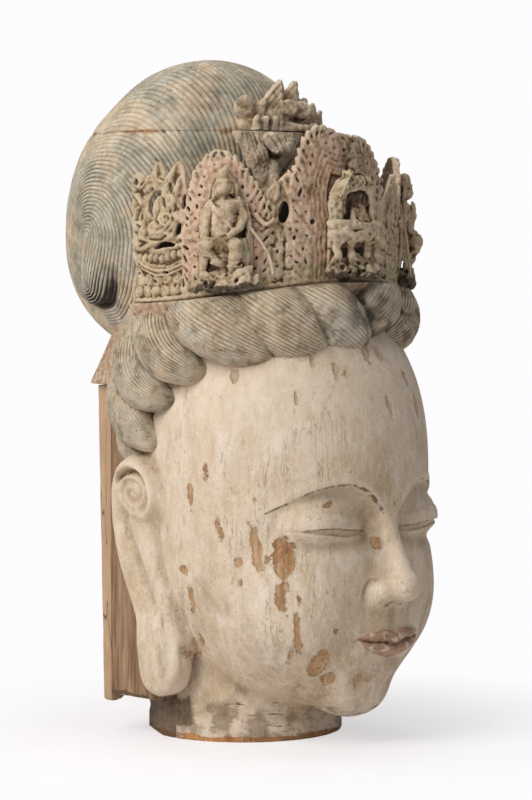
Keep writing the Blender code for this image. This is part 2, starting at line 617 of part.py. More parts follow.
def crown(h, fine=True, figures=True, plate=True):
    cv = Canvas((-222, 222), (-4, 138), (-9, 34), h)
    A = lambda d: d * DEG
    if plate:
        # lower band and the openwork ground behind the figures
        cv.plate(lambda s, t: np.maximum(np.abs(s) - 216, np.maximum(-t, t - 20)), (-217, 217, 0, 20), -5, 1.5, 1)
        def top(s):
            d = np.abs(s) / DEG
            return 66 + 24 * gauss((d - 2) / 26, 1) + 20 * gauss((d - 55) / 17, 1) + 26 * gauss((d - 80) / 13, 1)
        cv.plate(lambda s, t: np.maximum(np.abs(s) - 214, np.maximum(2 - t, (t - top(s)) * 0.8)), (-215, 215, 0, 112), -5, -1, 1)
        cv.tube(curve(lambda u: (-215 + 430 * u, 2.2, 1.5), 40), 2.0, 0.6)
        cv.tube(curve(lambda u: (-215 + 430 * u, 19, 1.0), 40), 1.4, 0.6)
        for q in (-1, 1):
            # pierced holes of the ground
            for d, t, rs, rt, tl in ((33, 64, 4.3, 9.5, 0), (26, 65, 3.2, 4.2, 20), (22.6, 52, 4.2, 3.2, 0), (40, 82, 3, 8, 20), (36, 92, 6, 14, 0), (44, 26, 3, 5, 0), (12, 60, 3, 6, 0)):
                cv.ball((q * A(d), t, -3), (rs, rt, 9), 0.8, cut=True, tilt=q * tl)
            # beads and the bound bundle
            for d, t, r in ((36.4, 36, 4.6), (35.1, 44.5, 4.2), (25.5, 36, 4.6), (20.5, 36, 4.4), (33.5, 15, 4.6), (23, 14, 4.4), (28.5, 13, 4), (25.5, 46, 3.6)):
                cv.ball((q * A(d), t, 0.5), (r, r, 3.2), 0.7)
                if fine:
                    cv.ball((q * A(d), t, 4.2), (r * 0.55, r * 0.55, 1.6), 0.5, cut=True)
            for j in range(3):
                cv.tube([(q * A(31) + (j - 1) * 2.9, 6, 1.5), (q * A(31) + (j - 1) * 2.5, 44, 1.8)], 1.6, 0.6)
            cv.tube([(q * A(31) - 5, 27, 2.6), (q * A(31) + 5, 27, 2.6)], 1.6, 0.6)
            # side panel: scrolls
            for d, t, rs, rt, tl in ((81.8, 82, 3.2, 13, -14), (70.9, 80, 2.3, 10, 0), (72.4, 61, 4.2, 7, 0), (78.6, 46, 9, 2.8, 8), (68.8, 30, 7.5, 2.6, 14), (69.8, 12, 1.5, 5.2, 0), (88, 63, 2.4, 4, 10), (76.2, 104, 2.6, 4.2, 0), (84, 31.5, 1.4, 1.4, 0)):
                cv.ball((q * A(d), t, -2), (rs, rt, 9), 0.7, cut=True, tilt=q * tl)
            # big C scroll round the first opening
            cs = (q * A(82), 78)
            cv.tube(curve(lambda u: (cs[0] + q * 17.5 * np.cos(np.radians(62 + 215 * u)) * (1.0), cs[1] + 23 * np.sin(np.radians(62 + 215 * u)), 1.4), 14), 2.9, 0.8)
            cv.tube(curve(lambda u: (cs[0] + q * 12.0 * np.cos(np.radians(80 + 190 * u)), cs[1] + 17.5 * np.sin(np.radians(80 + 190 * u)), 2.0), 12), 1.7, 0.6)
            spiral(cv, (q * A(91), 101.5), 6.4, 1.3, 200 if q > 0 else -20, 1.2, 2.7, hand=-q)
            spiral(cv, (q * A(93.4), 80), 3.6, 1.0, 200, 1.0, 2.0, hand=-q)
            spiral(cv, (q * A(76.2), 84), 5.4, 1.4, 90, 2.4, 2.2, hand=q)
            spiral(cv, (q * A(75.5), 66), 5.6, 1.5, 90, 2.6, 2.2, hand=-q)
            spiral(cv, (q * A(91.5), 57), 4.6, 1.2, 90, 1.6, 2.0, hand=-q)
            cv.tube(curve(lambda u: (q * (A(92) - 30 * u), 64 - 12 * np.sin(np.pi * u * 0.9), 1.6), 9), 2.2, 0.7)
            for d, t, L, b in ((84.5, 98, 22, 0.5), (80, 103, 20, 0.1), (76.5, 99, 19, -0.5), (73, 104, 17, 0.4), (70, 96, 17, -0.4), (87.5, 92, 14, 0.6)):
                flame(cv, (q * A(d), t - 8), 90, L, 3.4, 0.8, bend=q * b)
            # boat-shaped swag with a double edge
            for dt, r in ((0, 1.9), (5.2, 1.3)):
                cv.tube(curve(lambda u: (q * (A(94) - (A(94) - A(70.5)) * u), 48 + dt - (21 - dt * 0.5) * np.sin(np.pi * np.clip(u * 1.02, 0, 1)) ** 0.85, 2.0), 16), r, 0.6)
            cv.plate(lambda s, t: ((s - q * A(82.5)) / 24.0) ** 2 + ((t - 37) / 7.0) ** 2 - 1, (q * A(82.5) - 25, q * A(82.5) + 25, 29, 45), -1, 1.6, 0.8)
            for j in range(4):
                cv.ball((q * A(88.5 - j * 4), 37 + 1.4 * (j % 2), 1.6), (2.6, 2.6, 1.8), 0.5)
            # lower row of curls
            for j, (d, t, r) in enumerate(((90.5, 10, 7.2), (84.0, 13, 6.4), (77.8, 12, 6.6), (73.2, 20, 4.4), (65.2, 14.5, 7.6), (91.5, 22, 3.6), (79.5, 23, 3.4))):
                spiral(cv, (q * A(d), t), r, 1.6, 90 + 40 * j, 1.6, 1.9, hand=(-1) ** j * q)
            mandorla(cv, q * A(55.5), 20, 123, 41, 0.6, 7, fine)
        mandorla(cv, A(2), 20, 130, 60, 0.6, 8, fine)
    if figures:
        for d, t, pend, worn in ((54.6, 1, True, False), (-54.6, 1, True, False), (0.5, 1, False, True)):
            seated(cv, A(d), t, 1.06 if pend else 1.08, pend, worn, fine)
            if fine or plate:
                for q in (-1, 1):
                    cv.tube([(A(d) + q * 25, 20, 5), (A(d) + q * 24, 46, 5), (A(d) + q * 20, 72, 4)], [2.1, 1.9, 1.7], 0.8)
    F = cv.F
    F[0], F[-1], F[:, 0], F[:, -1], F[:, :, 0], F[:, :, -1] = 3, 3, 3, 3, 3, 3
    return cv


def bend(P):
    """unrolled crown to the ring"""
    s, t, w = P[:, 0], P[:, 1], P[:, 2]
    th = s / R0
    lean = 0.035 * t
    r = R0 + w + lean
    return np.stack([-r * np.sin(th), AX_Y - r * np.cos(th), base_line(np.degrees(th)) + t], 1)


# -------------------------------------------------------------------- pieces
MATERIALS = {
    "head": ("painted_gesso_wood", (0.66, 0.57, 0.44), 0.72),
    "chignon_top": ("painted_hair_wood", (0.34, 0.32, 0.26), 0.78),
    "crown": ("crown_wood", (0.42, 0.33, 0.24), 0.8),
    "back_board": ("old_plank", (0.26, 0.15, 0.08), 0.75),
}


def material(node):
    name, colour, rough = MATERIALS[node]
    m = bpy.data.materials.new(name)
    m.use_nodes = True
    b = m.node_tree.nodes["Principled BSDF"]
    b.inputs["Base Color"].default_value = (*colour, 1)
    b.inputs["Roughness"].default_value = rough
    b.inputs["Metallic"].default_value = 0.0
    return m


def biggest(P, Q):
    """only the main shell: loose crumbs and inner bubbles are dropped"""
    lab = np.arange(len(P))
    while True:
        m = lab[Q].min(1)
        new = lab.copy()
        for c in range(4):
            np.minimum.at(new, Q[:, c], m)
        new = new[new]
        if (new == lab).all():
            break
        lab = new
    main = np.bincount(lab).argmax()
    keep = lab[Q[:, 0]] == main
    used = np.unique(Q[keep])
    where = -np.ones(len(P), np.int64)
    where[used] = np.arange(len(used))
    return P[used], where[Q[keep]]


def add(node, P, F, thin=None, smooth=True):
    me = bpy.data.meshes.new(node)
    me.from_pydata((P * MM).tolist(), [], F.tolist())
    me.validate()
    if smooth:
        me.shade_smooth()
        me.set_sharp_from_angle(angle=np.radians(40))
    me.materials.append(material(node))
    ob = bpy.data.objects.new(node, me)
    bpy.context.scene.collection.objects.link(ob)
    if thin:
        d = ob.modifiers.new("thin", "DECIMATE")
        d.decimate_type = "COLLAPSE"
        d.ratio = thin / (2 * len(F))
        d.use_collapse_triangulate = True
    return ob


def flatten(P, axis, level, tol=0.12):
    k = np.abs(P[:, axis] - level) < tol
    P[k, axis] = level
    return P


def build_head():
    F, lo = grid_eval(head_block, (-162, -232.5, -7.5), (162, 198, 546), GRID["head"])
    P, Q = biggest(*surface_nets(F, lo, GRID["head"]))
    P = flatten(flatten(flatten(P, 2, 0.0), 2, JOINT_Z), 1, BACK_Y)
    return add("head", P, Q, BUDGET["head"])


def build_chignon_top():
    F, lo = grid_eval(chignon_cap, (-112, -72, 530), (112, 156, 614), GRID["chignon_top"])
    P, Q = biggest(*surface_nets(F, lo, GRID["chignon_top"]))
    P = flatten(P, 2, JOINT_Z + GAP)
    return add("chignon_top", P, Q, BUDGET["chignon_top"])


def build_crown():
    cv = crown(GRID["crown"], fine=False)
    P, Q = biggest(*surface_nets(cv.F, cv.lo, cv.h))
    return add("crown", bend(P), Q[:, ::-1], BUDGET["crown"])


def build_board():
    """plank in the flat back, a little ragged at its foot"""
    b = BOARD
    n = 14
    xs = np.linspace(-b["half"], b["half"], n + 1)
    foot = b["foot"] + 2.2 * np.sin(xs * 0.21) + 1.6 * np.sin(xs * 0.083 + 1.0)
    front = [(x, b["front"], f) for x, f in zip(xs, foot)] + [(x, b["front"], b["top"]) for x in xs[::-1]]
    back = [(x, b["back"], f) for x, f in zip(xs, foot)] + [(x, b["back"] + b["lean"], b["top"]) for x in xs[::-1]]
    m = len(front)
    P = np.array(front + back, float)
    F = [[i, (i + 1) % m, m + (i + 1) % m, m + i] for i in range(m)]
    top = 2 * (n + 1) - 1
    for i in range(n):
        F.append([i + 1, i, top - i, top - i - 1])
        F.append([m + i, m + i + 1, m + top - i - 1, m + top - i])
    me = bpy.data.meshes.new("back_board")
    me.from_pydata((P * MM).tolist(), [], [f[::-1] for f in F])
    me.validate()
    me.materials.append(material("back_board"))
    ob = bpy.data.objects.new("back_board", me)
    bpy.context.scene.collection.objects.link(ob)
    return ob


def main():
    for o in list(bpy.data.objects):
        bpy.data.objects.remove(o, do_unlink=True)
    build_head()
    build_chignon_top()
    build_crown()
    build_board()


main()
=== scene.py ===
"""Looks of the carved and painted wooden bodhisattva head.

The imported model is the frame. Every carved piece here is a finer mesh of the
same form as its node: the combed hair is laid strand by strand along the
chignon and the twisted roll, the crown is cut at full detail, and colour comes
from procedural materials fed by fields worked out at each vertex.

Form functions work in millimetres; meshes are scaled to metres.
"""
import math
import bpy
import bmesh
import numpy as np
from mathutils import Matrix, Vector


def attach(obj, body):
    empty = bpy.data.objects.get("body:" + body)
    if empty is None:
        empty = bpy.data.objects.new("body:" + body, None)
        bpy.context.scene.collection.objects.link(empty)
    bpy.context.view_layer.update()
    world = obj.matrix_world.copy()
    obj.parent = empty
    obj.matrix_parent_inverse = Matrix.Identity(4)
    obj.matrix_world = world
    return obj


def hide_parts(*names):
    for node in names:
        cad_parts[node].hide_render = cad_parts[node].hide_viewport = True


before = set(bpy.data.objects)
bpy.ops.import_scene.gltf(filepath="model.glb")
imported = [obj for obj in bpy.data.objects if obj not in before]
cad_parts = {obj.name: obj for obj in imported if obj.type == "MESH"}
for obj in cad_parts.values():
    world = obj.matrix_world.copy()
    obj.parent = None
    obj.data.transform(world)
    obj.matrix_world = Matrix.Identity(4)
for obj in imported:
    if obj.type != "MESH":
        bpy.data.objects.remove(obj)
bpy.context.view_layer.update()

MM = 0.001
NECK_R = (87.0, 86.0)
BACK_Y = 66.0
JOINT_Z = 538.0
EAR_X = 120.0
BOARD = dict(half=105.0, front=66.7, back=77.0, foot=30.0, top=312.6, lean=6.5)
R0 = 130.0
AX_Y = -7.0
DEG = R0 * np.pi / 180.0


# ------------------------------------------------------------- soft geometry
def smin(a, b, k):
    h = np.maximum(k - np.abs(a - b), 0.0) / k
    return np.minimum(a, b) - h * h * k * 0.25


def smax(a, b, k):
    return -smin(-a, -b, k)


def ell(x, y, z, c, r):
    px, py, pz = (x - c[0]) / r[0], (y - c[1]) / r[1], (z - c[2]) / r[2]
    k0 = np.sqrt(px * px + py * py + pz * pz) + 1e-9
    k1 = np.sqrt((px / r[0]) ** 2 + (py / r[1]) ** 2 + (pz / r[2]) ** 2) + 1e-9
    return k0 * (k0 - 1.0) / k1


def capsule(x, y, z, a, b, ra, rb=None):
    rb = ra if rb is None else rb
    ax, ay, az = a
    dx, dy, dz = b[0] - ax, b[1] - ay, b[2] - az
    L = dx * dx + dy * dy + dz * dz + 1e-12
    t = np.clip(((x - ax) * dx + (y - ay) * dy + (z - az) * dz) / L, 0, 1)
    qx, qy, qz = x - ax - t * dx, y - ay - t * dy, z - az - t * dz
    return np.sqrt(qx * qx + qy * qy + qz * qz) - (ra + (rb - ra) * t)


def sstep(a, b, v):
    t = np.clip((v - a) / (b - a), 0, 1)
    return t * t * (3 - 2 * t)


def gauss(v, s):
    return np.exp(-(v / s) ** 2)


def chain(x, y, z, pts, radii, k):
    f = None
    for a, b, ra, rb in zip(pts[:-1], pts[1:], radii[:-1], radii[1:]):
        c = capsule(x, y, z, a, b, ra, rb)
        f = c if f is None else smin(f, c, k)
    return f


def curve(fn, n):
    return [fn(u) for u in np.linspace(0, 1, n)]


# --------------------------------------------------- grid to a skin of quads
CORNERS = [(i & 1, (i >> 1) & 1, (i >> 2) & 1) for i in range(8)]


def _split_masks():
    """cell patterns whose solid or empty corners don't hang together"""
    bad = np.zeros(256, bool)
    for m in range(1, 255):
        for want in (0, 1):
            left = [i for i in range(8) if (m >> i) & 1 == want]
            seen, todo = {left[0]}, [left[0]]
            while todo:
                a = todo.pop()
                for b in left:
                    if b not in seen and bin(a ^ b).count("1") == 1:
                        seen.add(b)
                        todo.append(b)
            if len(seen) < len(left):
                bad[m] = True
    return bad


BAD = _split_masks()


def tidy(F, h, rounds=40):
    """fill the cells where the skin would touch itself"""
    nx, ny, nz = F.shape
    for _ in range(rounds):
        S = F < 0
        m = np.zeros((nx - 1, ny - 1, nz - 1), np.uint8)
        for b, (i, j, k) in enumerate(CORNERS):
            m |= (S[i:nx - 1 + i, j:ny - 1 + j, k:nz - 1 + k].astype(np.uint8) << b)
        I, J, K = np.nonzero(BAD[m])
        if len(I) == 0:
            break
        for i, j, k in CORNERS:
            F[I + i, J + j, K + k] = np.minimum(F[I + i, J + j, K + k], -0.3 * h)
    e = 0.08 * h
    return np.where(np.abs(F) < e, np.where(F < 0, -e, e), F)


def surface_nets(F, lo, h):
    F = tidy(F.astype(np.float32).copy(), h)
    S = F < 0
    nx, ny, nz = F.shape
    cnt = np.zeros((nx - 1, ny - 1, nz - 1), np.int8)
    for i, j, k in CORNERS:
        cnt += S[i:nx - 1 + i, j:ny - 1 + j, k:nz - 1 + k]
    act = (cnt > 0) & (cnt < 8)
    I, J, K = np.nonzero(act)
    idx = -np.ones(act.shape, np.int64)
    idx[I, J, K] = np.arange(len(I))
    val = [F[I + i, J + j, K + k].astype(np.float64) for i, j, k in CORNERS]
    acc = np.zeros((len(I), 3))
    num = np.zeros(len(I))
    for a in range(8):
        for b in range(a + 1, 8):
            if bin(a ^ b).count("1") != 1:
                continue
            ca, cb = np.array(CORNERS[a], float), np.array(CORNERS[b], float)
            m = (val[a] < 0) != (val[b] < 0)
            t = np.where(m, val[a] / np.where(m, val[a] - val[b], 1), 0)
            acc += np.where(m[:, None], ca + t[:, None] * (cb - ca), 0)
            num += m
    P = (np.stack([I, J, K], 1) + acc / num[:, None]) * h + np.asarray(lo)
    quads = []
    for ax in range(3):
        u, v = (ax + 1) % 3, (ax + 2) % 3
        s0, s1 = [slice(1, -1)] * 3, [slice(1, -1)] * 3
        s0[ax], s1[ax] = slice(0, F.shape[ax] - 1), slice(1, F.shape[ax])
        A, B = S[tuple(s0)], S[tuple(s1)]
        m = A != B
        g = np.array(np.nonzero(m)).T
        g[:, u] += 1
        g[:, v] += 1

        def cell(du, dv):
            c = g.copy()
            c[:, u] += du
            c[:, v] += dv
            return idx[c[:, 0], c[:, 1], c[:, 2]]
        q = np.stack([cell(-1, -1), cell(0, -1), cell(0, 0), cell(-1, 0)], 1)
        flip = ~A[m]
        q[flip] = q[flip][:, ::-1]
        quads.append(q)
    return P, np.concatenate(quads)


def grid_eval(fn, lo, hi, h, coarse=4):
    """values of fn on a grid, exact only near its zero surface"""
    lo, hi = np.asarray(lo, float), np.asarray(hi, float)
    n = np.ceil((hi - lo) / (h * coarse)).astype(int)
    H = h * coarse
    ax = [lo[a] + np.arange(n[a] + 1) * H for a in range(3)]
    X, Y, Z = np.meshgrid(*ax, indexing="ij")
    C = fn(X.ravel(), Y.ravel(), Z.ravel()).reshape(X.shape)
    nf = n * coarse
    ii = [np.clip(np.round(np.arange(nf[a] + 1) / coarse).astype(int), 0, n[a]) for a in range(3)]
    F = C[np.ix_(*ii)].astype(np.float32)
    near_c = np.abs(C) < H * 1.75
    near = np.zeros(tuple(n), bool)
    for i, j, k in CORNERS:
        near |= near_c[i:n[0] + i, j:n[1] + j, k:n[2] + k]
    done = np.zeros(F.shape, bool)
    I, J, K = np.nonzero(near)
    r = np.arange(coarse + 1)
    ox, oy, oz = (o.ravel()[None] for o in np.meshgrid(r, r, r, indexing="ij"))
    done[(I[:, None] * coarse + ox), (J[:, None] * coarse + oy), (K[:, None] * coarse + oz)] = True
    gi, gj, gk = np.nonzero(done)
    out = np.empty(len(gi), np.float32)
    for s in range(0, len(gi), 400000):
        e = slice(s, s + 400000)
        out[e] = fn(lo[0] + gi[e] * h, lo[1] + gj[e] * h, lo[2] + gk[e] * h)
    F[gi, gj, gk] = out
    return F, lo


# ------------------------------------------------------------ noise and meshes
def _hash(i, j, k, seed):
    n = (i * 73856093) ^ (j * 19349663) ^ (k * 83492791) ^ (seed * 974634777 + 12345)
    n = (n ^ (n >> 13)) * 1274126177
    n = n ^ (n >> 16)
    return (n & 0xFFFFFF) / 8388607.5 - 1.0


TURN = np.array([[0.36, 0.48, -0.80], [-0.80, 0.60, 0.0], [0.48, 0.64, 0.60]])


def noise3(P, scale, seed=0):
    """smooth value noise in -1..1; scale is the size of its lumps in mm"""
    q = (np.asarray(P, float) / np.asarray(scale, float)) @ TURN + 31.7 * seed
    i = np.floor(q).astype(np.int64)
    f = q - i
    u = f * f * (3 - 2 * f)
    out = 0
    for dx in (0, 1):
        for dy in (0, 1):
            for dz in (0, 1):
                w = np.abs(1 - dx - u[:, 0]) * np.abs(1 - dy - u[:, 1]) * np.abs(1 - dz - u[:, 2])
                out = out + w * _hash(i[:, 0] + dx, i[:, 1] + dy, i[:, 2] + dz, seed)
    return out


def fbm(P, scale, n=3, seed=0):
    out, a, tot = 0, 1.0, 0
    for o in range(n):
        out = out + a * noise3(P, np.asarray(scale, float) / 2.0 ** o, seed + o)
        tot += a
        a *= 0.5
    return out / tot


def gradient(fn, P, e=0.25):
    g = np.empty_like(P)
    for a in range(3):
        d = np.zeros(3)
        d[a] = e
        A, B = P + d, P - d
        g[:, a] = (fn(A[:, 0], A[:, 1], A[:, 2]) - fn(B[:, 0], B[:, 1], B[:, 2])) / (2 * e)
    return g


def project(fn, P, steps=1, cap=1.0, e=0.25):
    """moves points onto the zero surface of fn"""
    for _ in range(steps):
        v = fn(P[:, 0], P[:, 1], P[:, 2])
        g = gradient(fn, P, e)
        g2 = np.maximum((g * g).sum(1), 0.05)
        d = -(v / g2)[:, None] * g
        L = np.linalg.norm(d, axis=1)
        P = P + d * np.minimum(1, cap / np.maximum(L, 1e-9))[:, None]
    return P


def biggest(P, Q):
    """only the main shell"""
    lab = np.arange(len(P))
    while True:
        m = lab[Q].min(1)
        new = lab.copy()
        for c in range(Q.shape[1]):
            np.minimum.at(new, Q[:, c], m)
        new = new[new]
        if (new == lab).all():
            break
        lab = new
    keep = lab[Q[:, 0]] == np.bincount(lab).argmax()
    used = np.unique(Q[keep])
    where = -np.ones(len(P), np.int64)
    where[used] = np.arange(len(used))
    return P[used], where[Q[keep]]


def mesh_from(name, P, Q):
    """mesh of equal-sided faces from arrays (mm)"""
    me = bpy.data.meshes.new(name)
    m, k = Q.shape
    me.vertices.add(len(P))
    me.vertices.foreach_set("co", (np.asarray(P) * MM).astype(np.float32).ravel())
    me.loops.add(m * k)
    me.loops.foreach_set("vertex_index", Q.astype(np.int32).ravel())
    me.polygons.add(m)
    me.polygons.foreach_set("loop_start", np.arange(0, m * k, k, dtype=np.int32))
    me.update(calc_edges=True)
    return me


def arrays_of(me):
    P = np.empty(len(me.vertices) * 3, np.float32)
    me.vertices.foreach_get("co", P)
    return P.reshape(-1, 3).astype(float) / MM


def thinned(P, Q, count):
    """the same skin with about count triangles, as arrays"""
    me = mesh_from("tmp_thin", P, Q)
    ob = bpy.data.objects.new("tmp_thin", me)
    bpy.context.scene.collection.objects.link(ob)
    d = ob.modifiers.new("thin", "DECIMATE")
    d.ratio = min(1.0, count / ((Q.shape[1] - 2) * len(Q)))
    d.use_collapse_triangulate = True
    dg = bpy.context.evaluated_depsgraph_get()
    ev = ob.evaluated_get(dg)
    em = ev.to_mesh()
    V = np.empty(len(em.vertices) * 3, np.float32)
    em.vertices.foreach_get("co", V)
    em.calc_loop_triangles()
    T = np.empty(len(em.loop_triangles) * 3, np.int32)
    em.loop_triangles.foreach_get("vertices", T)
    ev.to_mesh_clear()
    bpy.data.objects.remove(ob, do_unlink=True)
    bpy.data.meshes.remove(me)
    return V.reshape(-1, 3).astype(float) / MM, T.reshape(-1, 3).astype(np.int64)


def vertex_normals(P, T):
    """area-weighted vertex normals of a triangle or quad skin"""
    if T.shape[1] == 4:
        n = np.cross(P[T[:, 2]] - P[T[:, 0]], P[T[:, 3]] - P[T[:, 1]])
    else:
        n = np.cross(P[T[:, 1]] - P[T[:, 0]], P[T[:, 2]] - P[T[:, 0]])
    N = np.zeros_like(P)
    for c in range(T.shape[1]):
        for a in range(3):
            N[:, a] += np.bincount(T[:, c], n[:, a], len(P))
    return N / np.maximum(np.linalg.norm(N, axis=1), 1e-9)[:, None]


def hollows(P, T, N, rounds=12):
    """how far each vertex lies below its neighbourhood's mean, in mm along the normal"""
    E = np.concatenate([T[:, [i, (i + 1) % T.shape[1]]] for i in range(T.shape[1])])
    a, b = np.concatenate([E[:, 0], E[:, 1]]), np.concatenate([E[:, 1], E[:, 0]])
    cnt = np.maximum(np.bincount(a, minlength=len(P)), 1)
    S = P.copy()
    for _ in range(rounds):
        S = np.stack([np.bincount(a, S[b, c], len(P)) / cnt for c in range(3)], 1)
    return ((S - P) * N).sum(1)


def smooth_field(v, T, rounds=2):
    E = np.concatenate([T[:, [i, (i + 1) % T.shape[1]]] for i in range(T.shape[1])])
    a, b = np.concatenate([E[:, 0], E[:, 1]]), np.concatenate([E[:, 1], E[:, 0]])
    cnt = np.maximum(np.bincount(a, minlength=len(v)), 1)
    for _ in range(rounds):
        v = 0.4 * v + 0.6 * np.bincount(a, v[b], len(v)) / cnt
    return v


def piece(name, P, Q, mat, node, fields=None, sharp=None):
    """finished visible piece that stands for a node of the frame"""
    me = mesh_from(name, P, Q)
    me.shade_smooth()
    if sharp:
        me.set_sharp_from_angle(angle=math.radians(sharp))
    for k, v in (fields or {}).items():
        at = me.attributes.new(k, "FLOAT", "POINT")
        at.data.foreach_set("value", np.asarray(v, np.float32))
    me.materials.append(mat)
    ob = bpy.data.objects.new(name, me)
    bpy.context.scene.collection.objects.link(ob)
    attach(ob, "root")
    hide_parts(node)
    return ob


def cut_level(P, Q, level, above):
    """keeps what is above (or below) a level plane and closes the cut"""
    me = mesh_from("tmp_cut", P, Q)
    bm = bmesh.new()
    bm.from_mesh(me)
    g = bm.verts[:] + bm.edges[:] + bm.faces[:]
    r = bmesh.ops.bisect_plane(bm, geom=g, plane_co=(0, 0, level * MM), plane_no=(0, 0, 1),
                               clear_inner=above, clear_outer=not above, dist=1e-7)
    rim = [e for e in r["geom_cut"] if isinstance(e, bmesh.types.BMEdge)]
    bmesh.ops.triangle_fill(bm, use_beauty=True, use_dissolve=False, edges=rim)
    bmesh.ops.triangulate(bm, faces=bm.faces[:])
    bmesh.ops.recalc_face_normals(bm, faces=bm.faces[:])
    bm.verts.index_update()
    V = np.array([v.co[:] for v in bm.verts], float) / MM
    T = np.array([[v.index for v in f.verts] for f in bm.faces], np.int64)
    bm.free()
    bpy.data.meshes.remove(me)
    return V, T


def spline(K, n):
    """Catmull-Rom through the rows of K, n samples"""
    K = np.asarray(K, float)
    K = np.concatenate([2 * K[:1] - K[1:2], K, 2 * K[-1:] - K[-2:-1]])
    t = np.linspace(0, len(K) - 3 - 1e-9, n)
    i = t.astype(int)
    f = (t - i)[:, None]
    a, b, c, d = K[i], K[i + 1], K[i + 2], K[i + 3]
    return 0.5 * (2 * b + (c - a) * f + (2 * a - 5 * b + 4 * c - d) * f ** 2 + (3 * b - 3 * c + d - a) * f ** 3)


# ------------------------------------------------ head, face, neck and ears
def face_core(x, y, z):
    ax = np.abs(x)
    up = z > 240
    tz = np.where(up, (z - 240) / 168.0, (240 - z) / 217.0)
    G = (ax / 121.0) ** 2.15 + (np.abs(y + 50) / 128.0) ** 2.15 + np.abs(tz) ** np.where(up, 2.3, 2.75)
    f = (G ** (1 / 2.2) - 1) * 112.0
    # full cheeks and the round chin
    f = smin(f, ell(ax, y, z, (50, -112, 128), (44, 50, 56)), 34)
    f = smin(f, ell(x, y, z, (0, -131, 52), (34, 29, 27)), 26)
    f = smin(f, ell(x, y, z, (0, -122, 92), (40, 44, 34)), 26)
    return f


def feature_height(z):
    """the height at which the features' own lines below are read for a point at height z"""
    return z + 4.2 * sstep(60, 92, z) + 7.8 * sstep(146, 188, z) - 5.0 * sstep(196, 234, z) - 7.0 * sstep(236, 286, z)


def brow_line(ax):
    """height of the brow's crest: a long arc that starts on the nose's flank"""
    return np.where(ax < 48, 240 - 22 * ((48 - ax) / 39.0) ** 2, 240 - 19 * ((ax - 48) / 52.0) ** 2)


def eye_line(ax):
    """middle of the eye's opening, half its height, and the place along it"""
    t = (ax - 52) / 34.0
    zs = 204.6 + 1.9 * t - 1.6 * gauss(t + 0.25, 0.55) - 1.0 * t * t
    return zs, 2.7 * np.clip(1 - t * t, 0, 1) ** 0.7, t


def mouth_line(ax):
    return 98.0 + 0.0036 * ax * ax - 1.6 * gauss(ax, 6) + 0.8 * gauss(ax - 14, 8)


def lip_fields(ax, z):
    """bulge of the two lips in mm, and how far inside their painted edge a point is"""
    zm = mouth_line(ax)
    e = np.clip(1 - (ax / 40.0) ** 2, 0, 1)
    hu = 12.4 * e ** 0.72 - 2.3 * gauss(ax, 4.2) + 0.3
    hl = 14.4 * np.clip(1 - (ax / 36.5) ** 2, 0, 1) ** 0.62 + 0.3
    uu, ul = (z - zm) / hu, (zm - z) / hl
    bu = 4.9 * e ** 0.55 * np.where((uu > 0) & (uu < 1), np.sin(np.pi * np.clip(uu, 0, 1) ** 0.8), 0)
    bl = 6.0 * e ** 0.6 * np.where((ul > 0) & (ul < 1), np.sin(np.pi * np.clip(ul, 0, 1) ** 0.72), 0)
    inside = np.maximum(np.minimum(z - zm + 1.5, zm + hu - z), np.minimum(zm + 1.5 - z, z - zm + hl))
    return bu + bl, np.minimum(inside, (39.5 - ax) * 0.5)


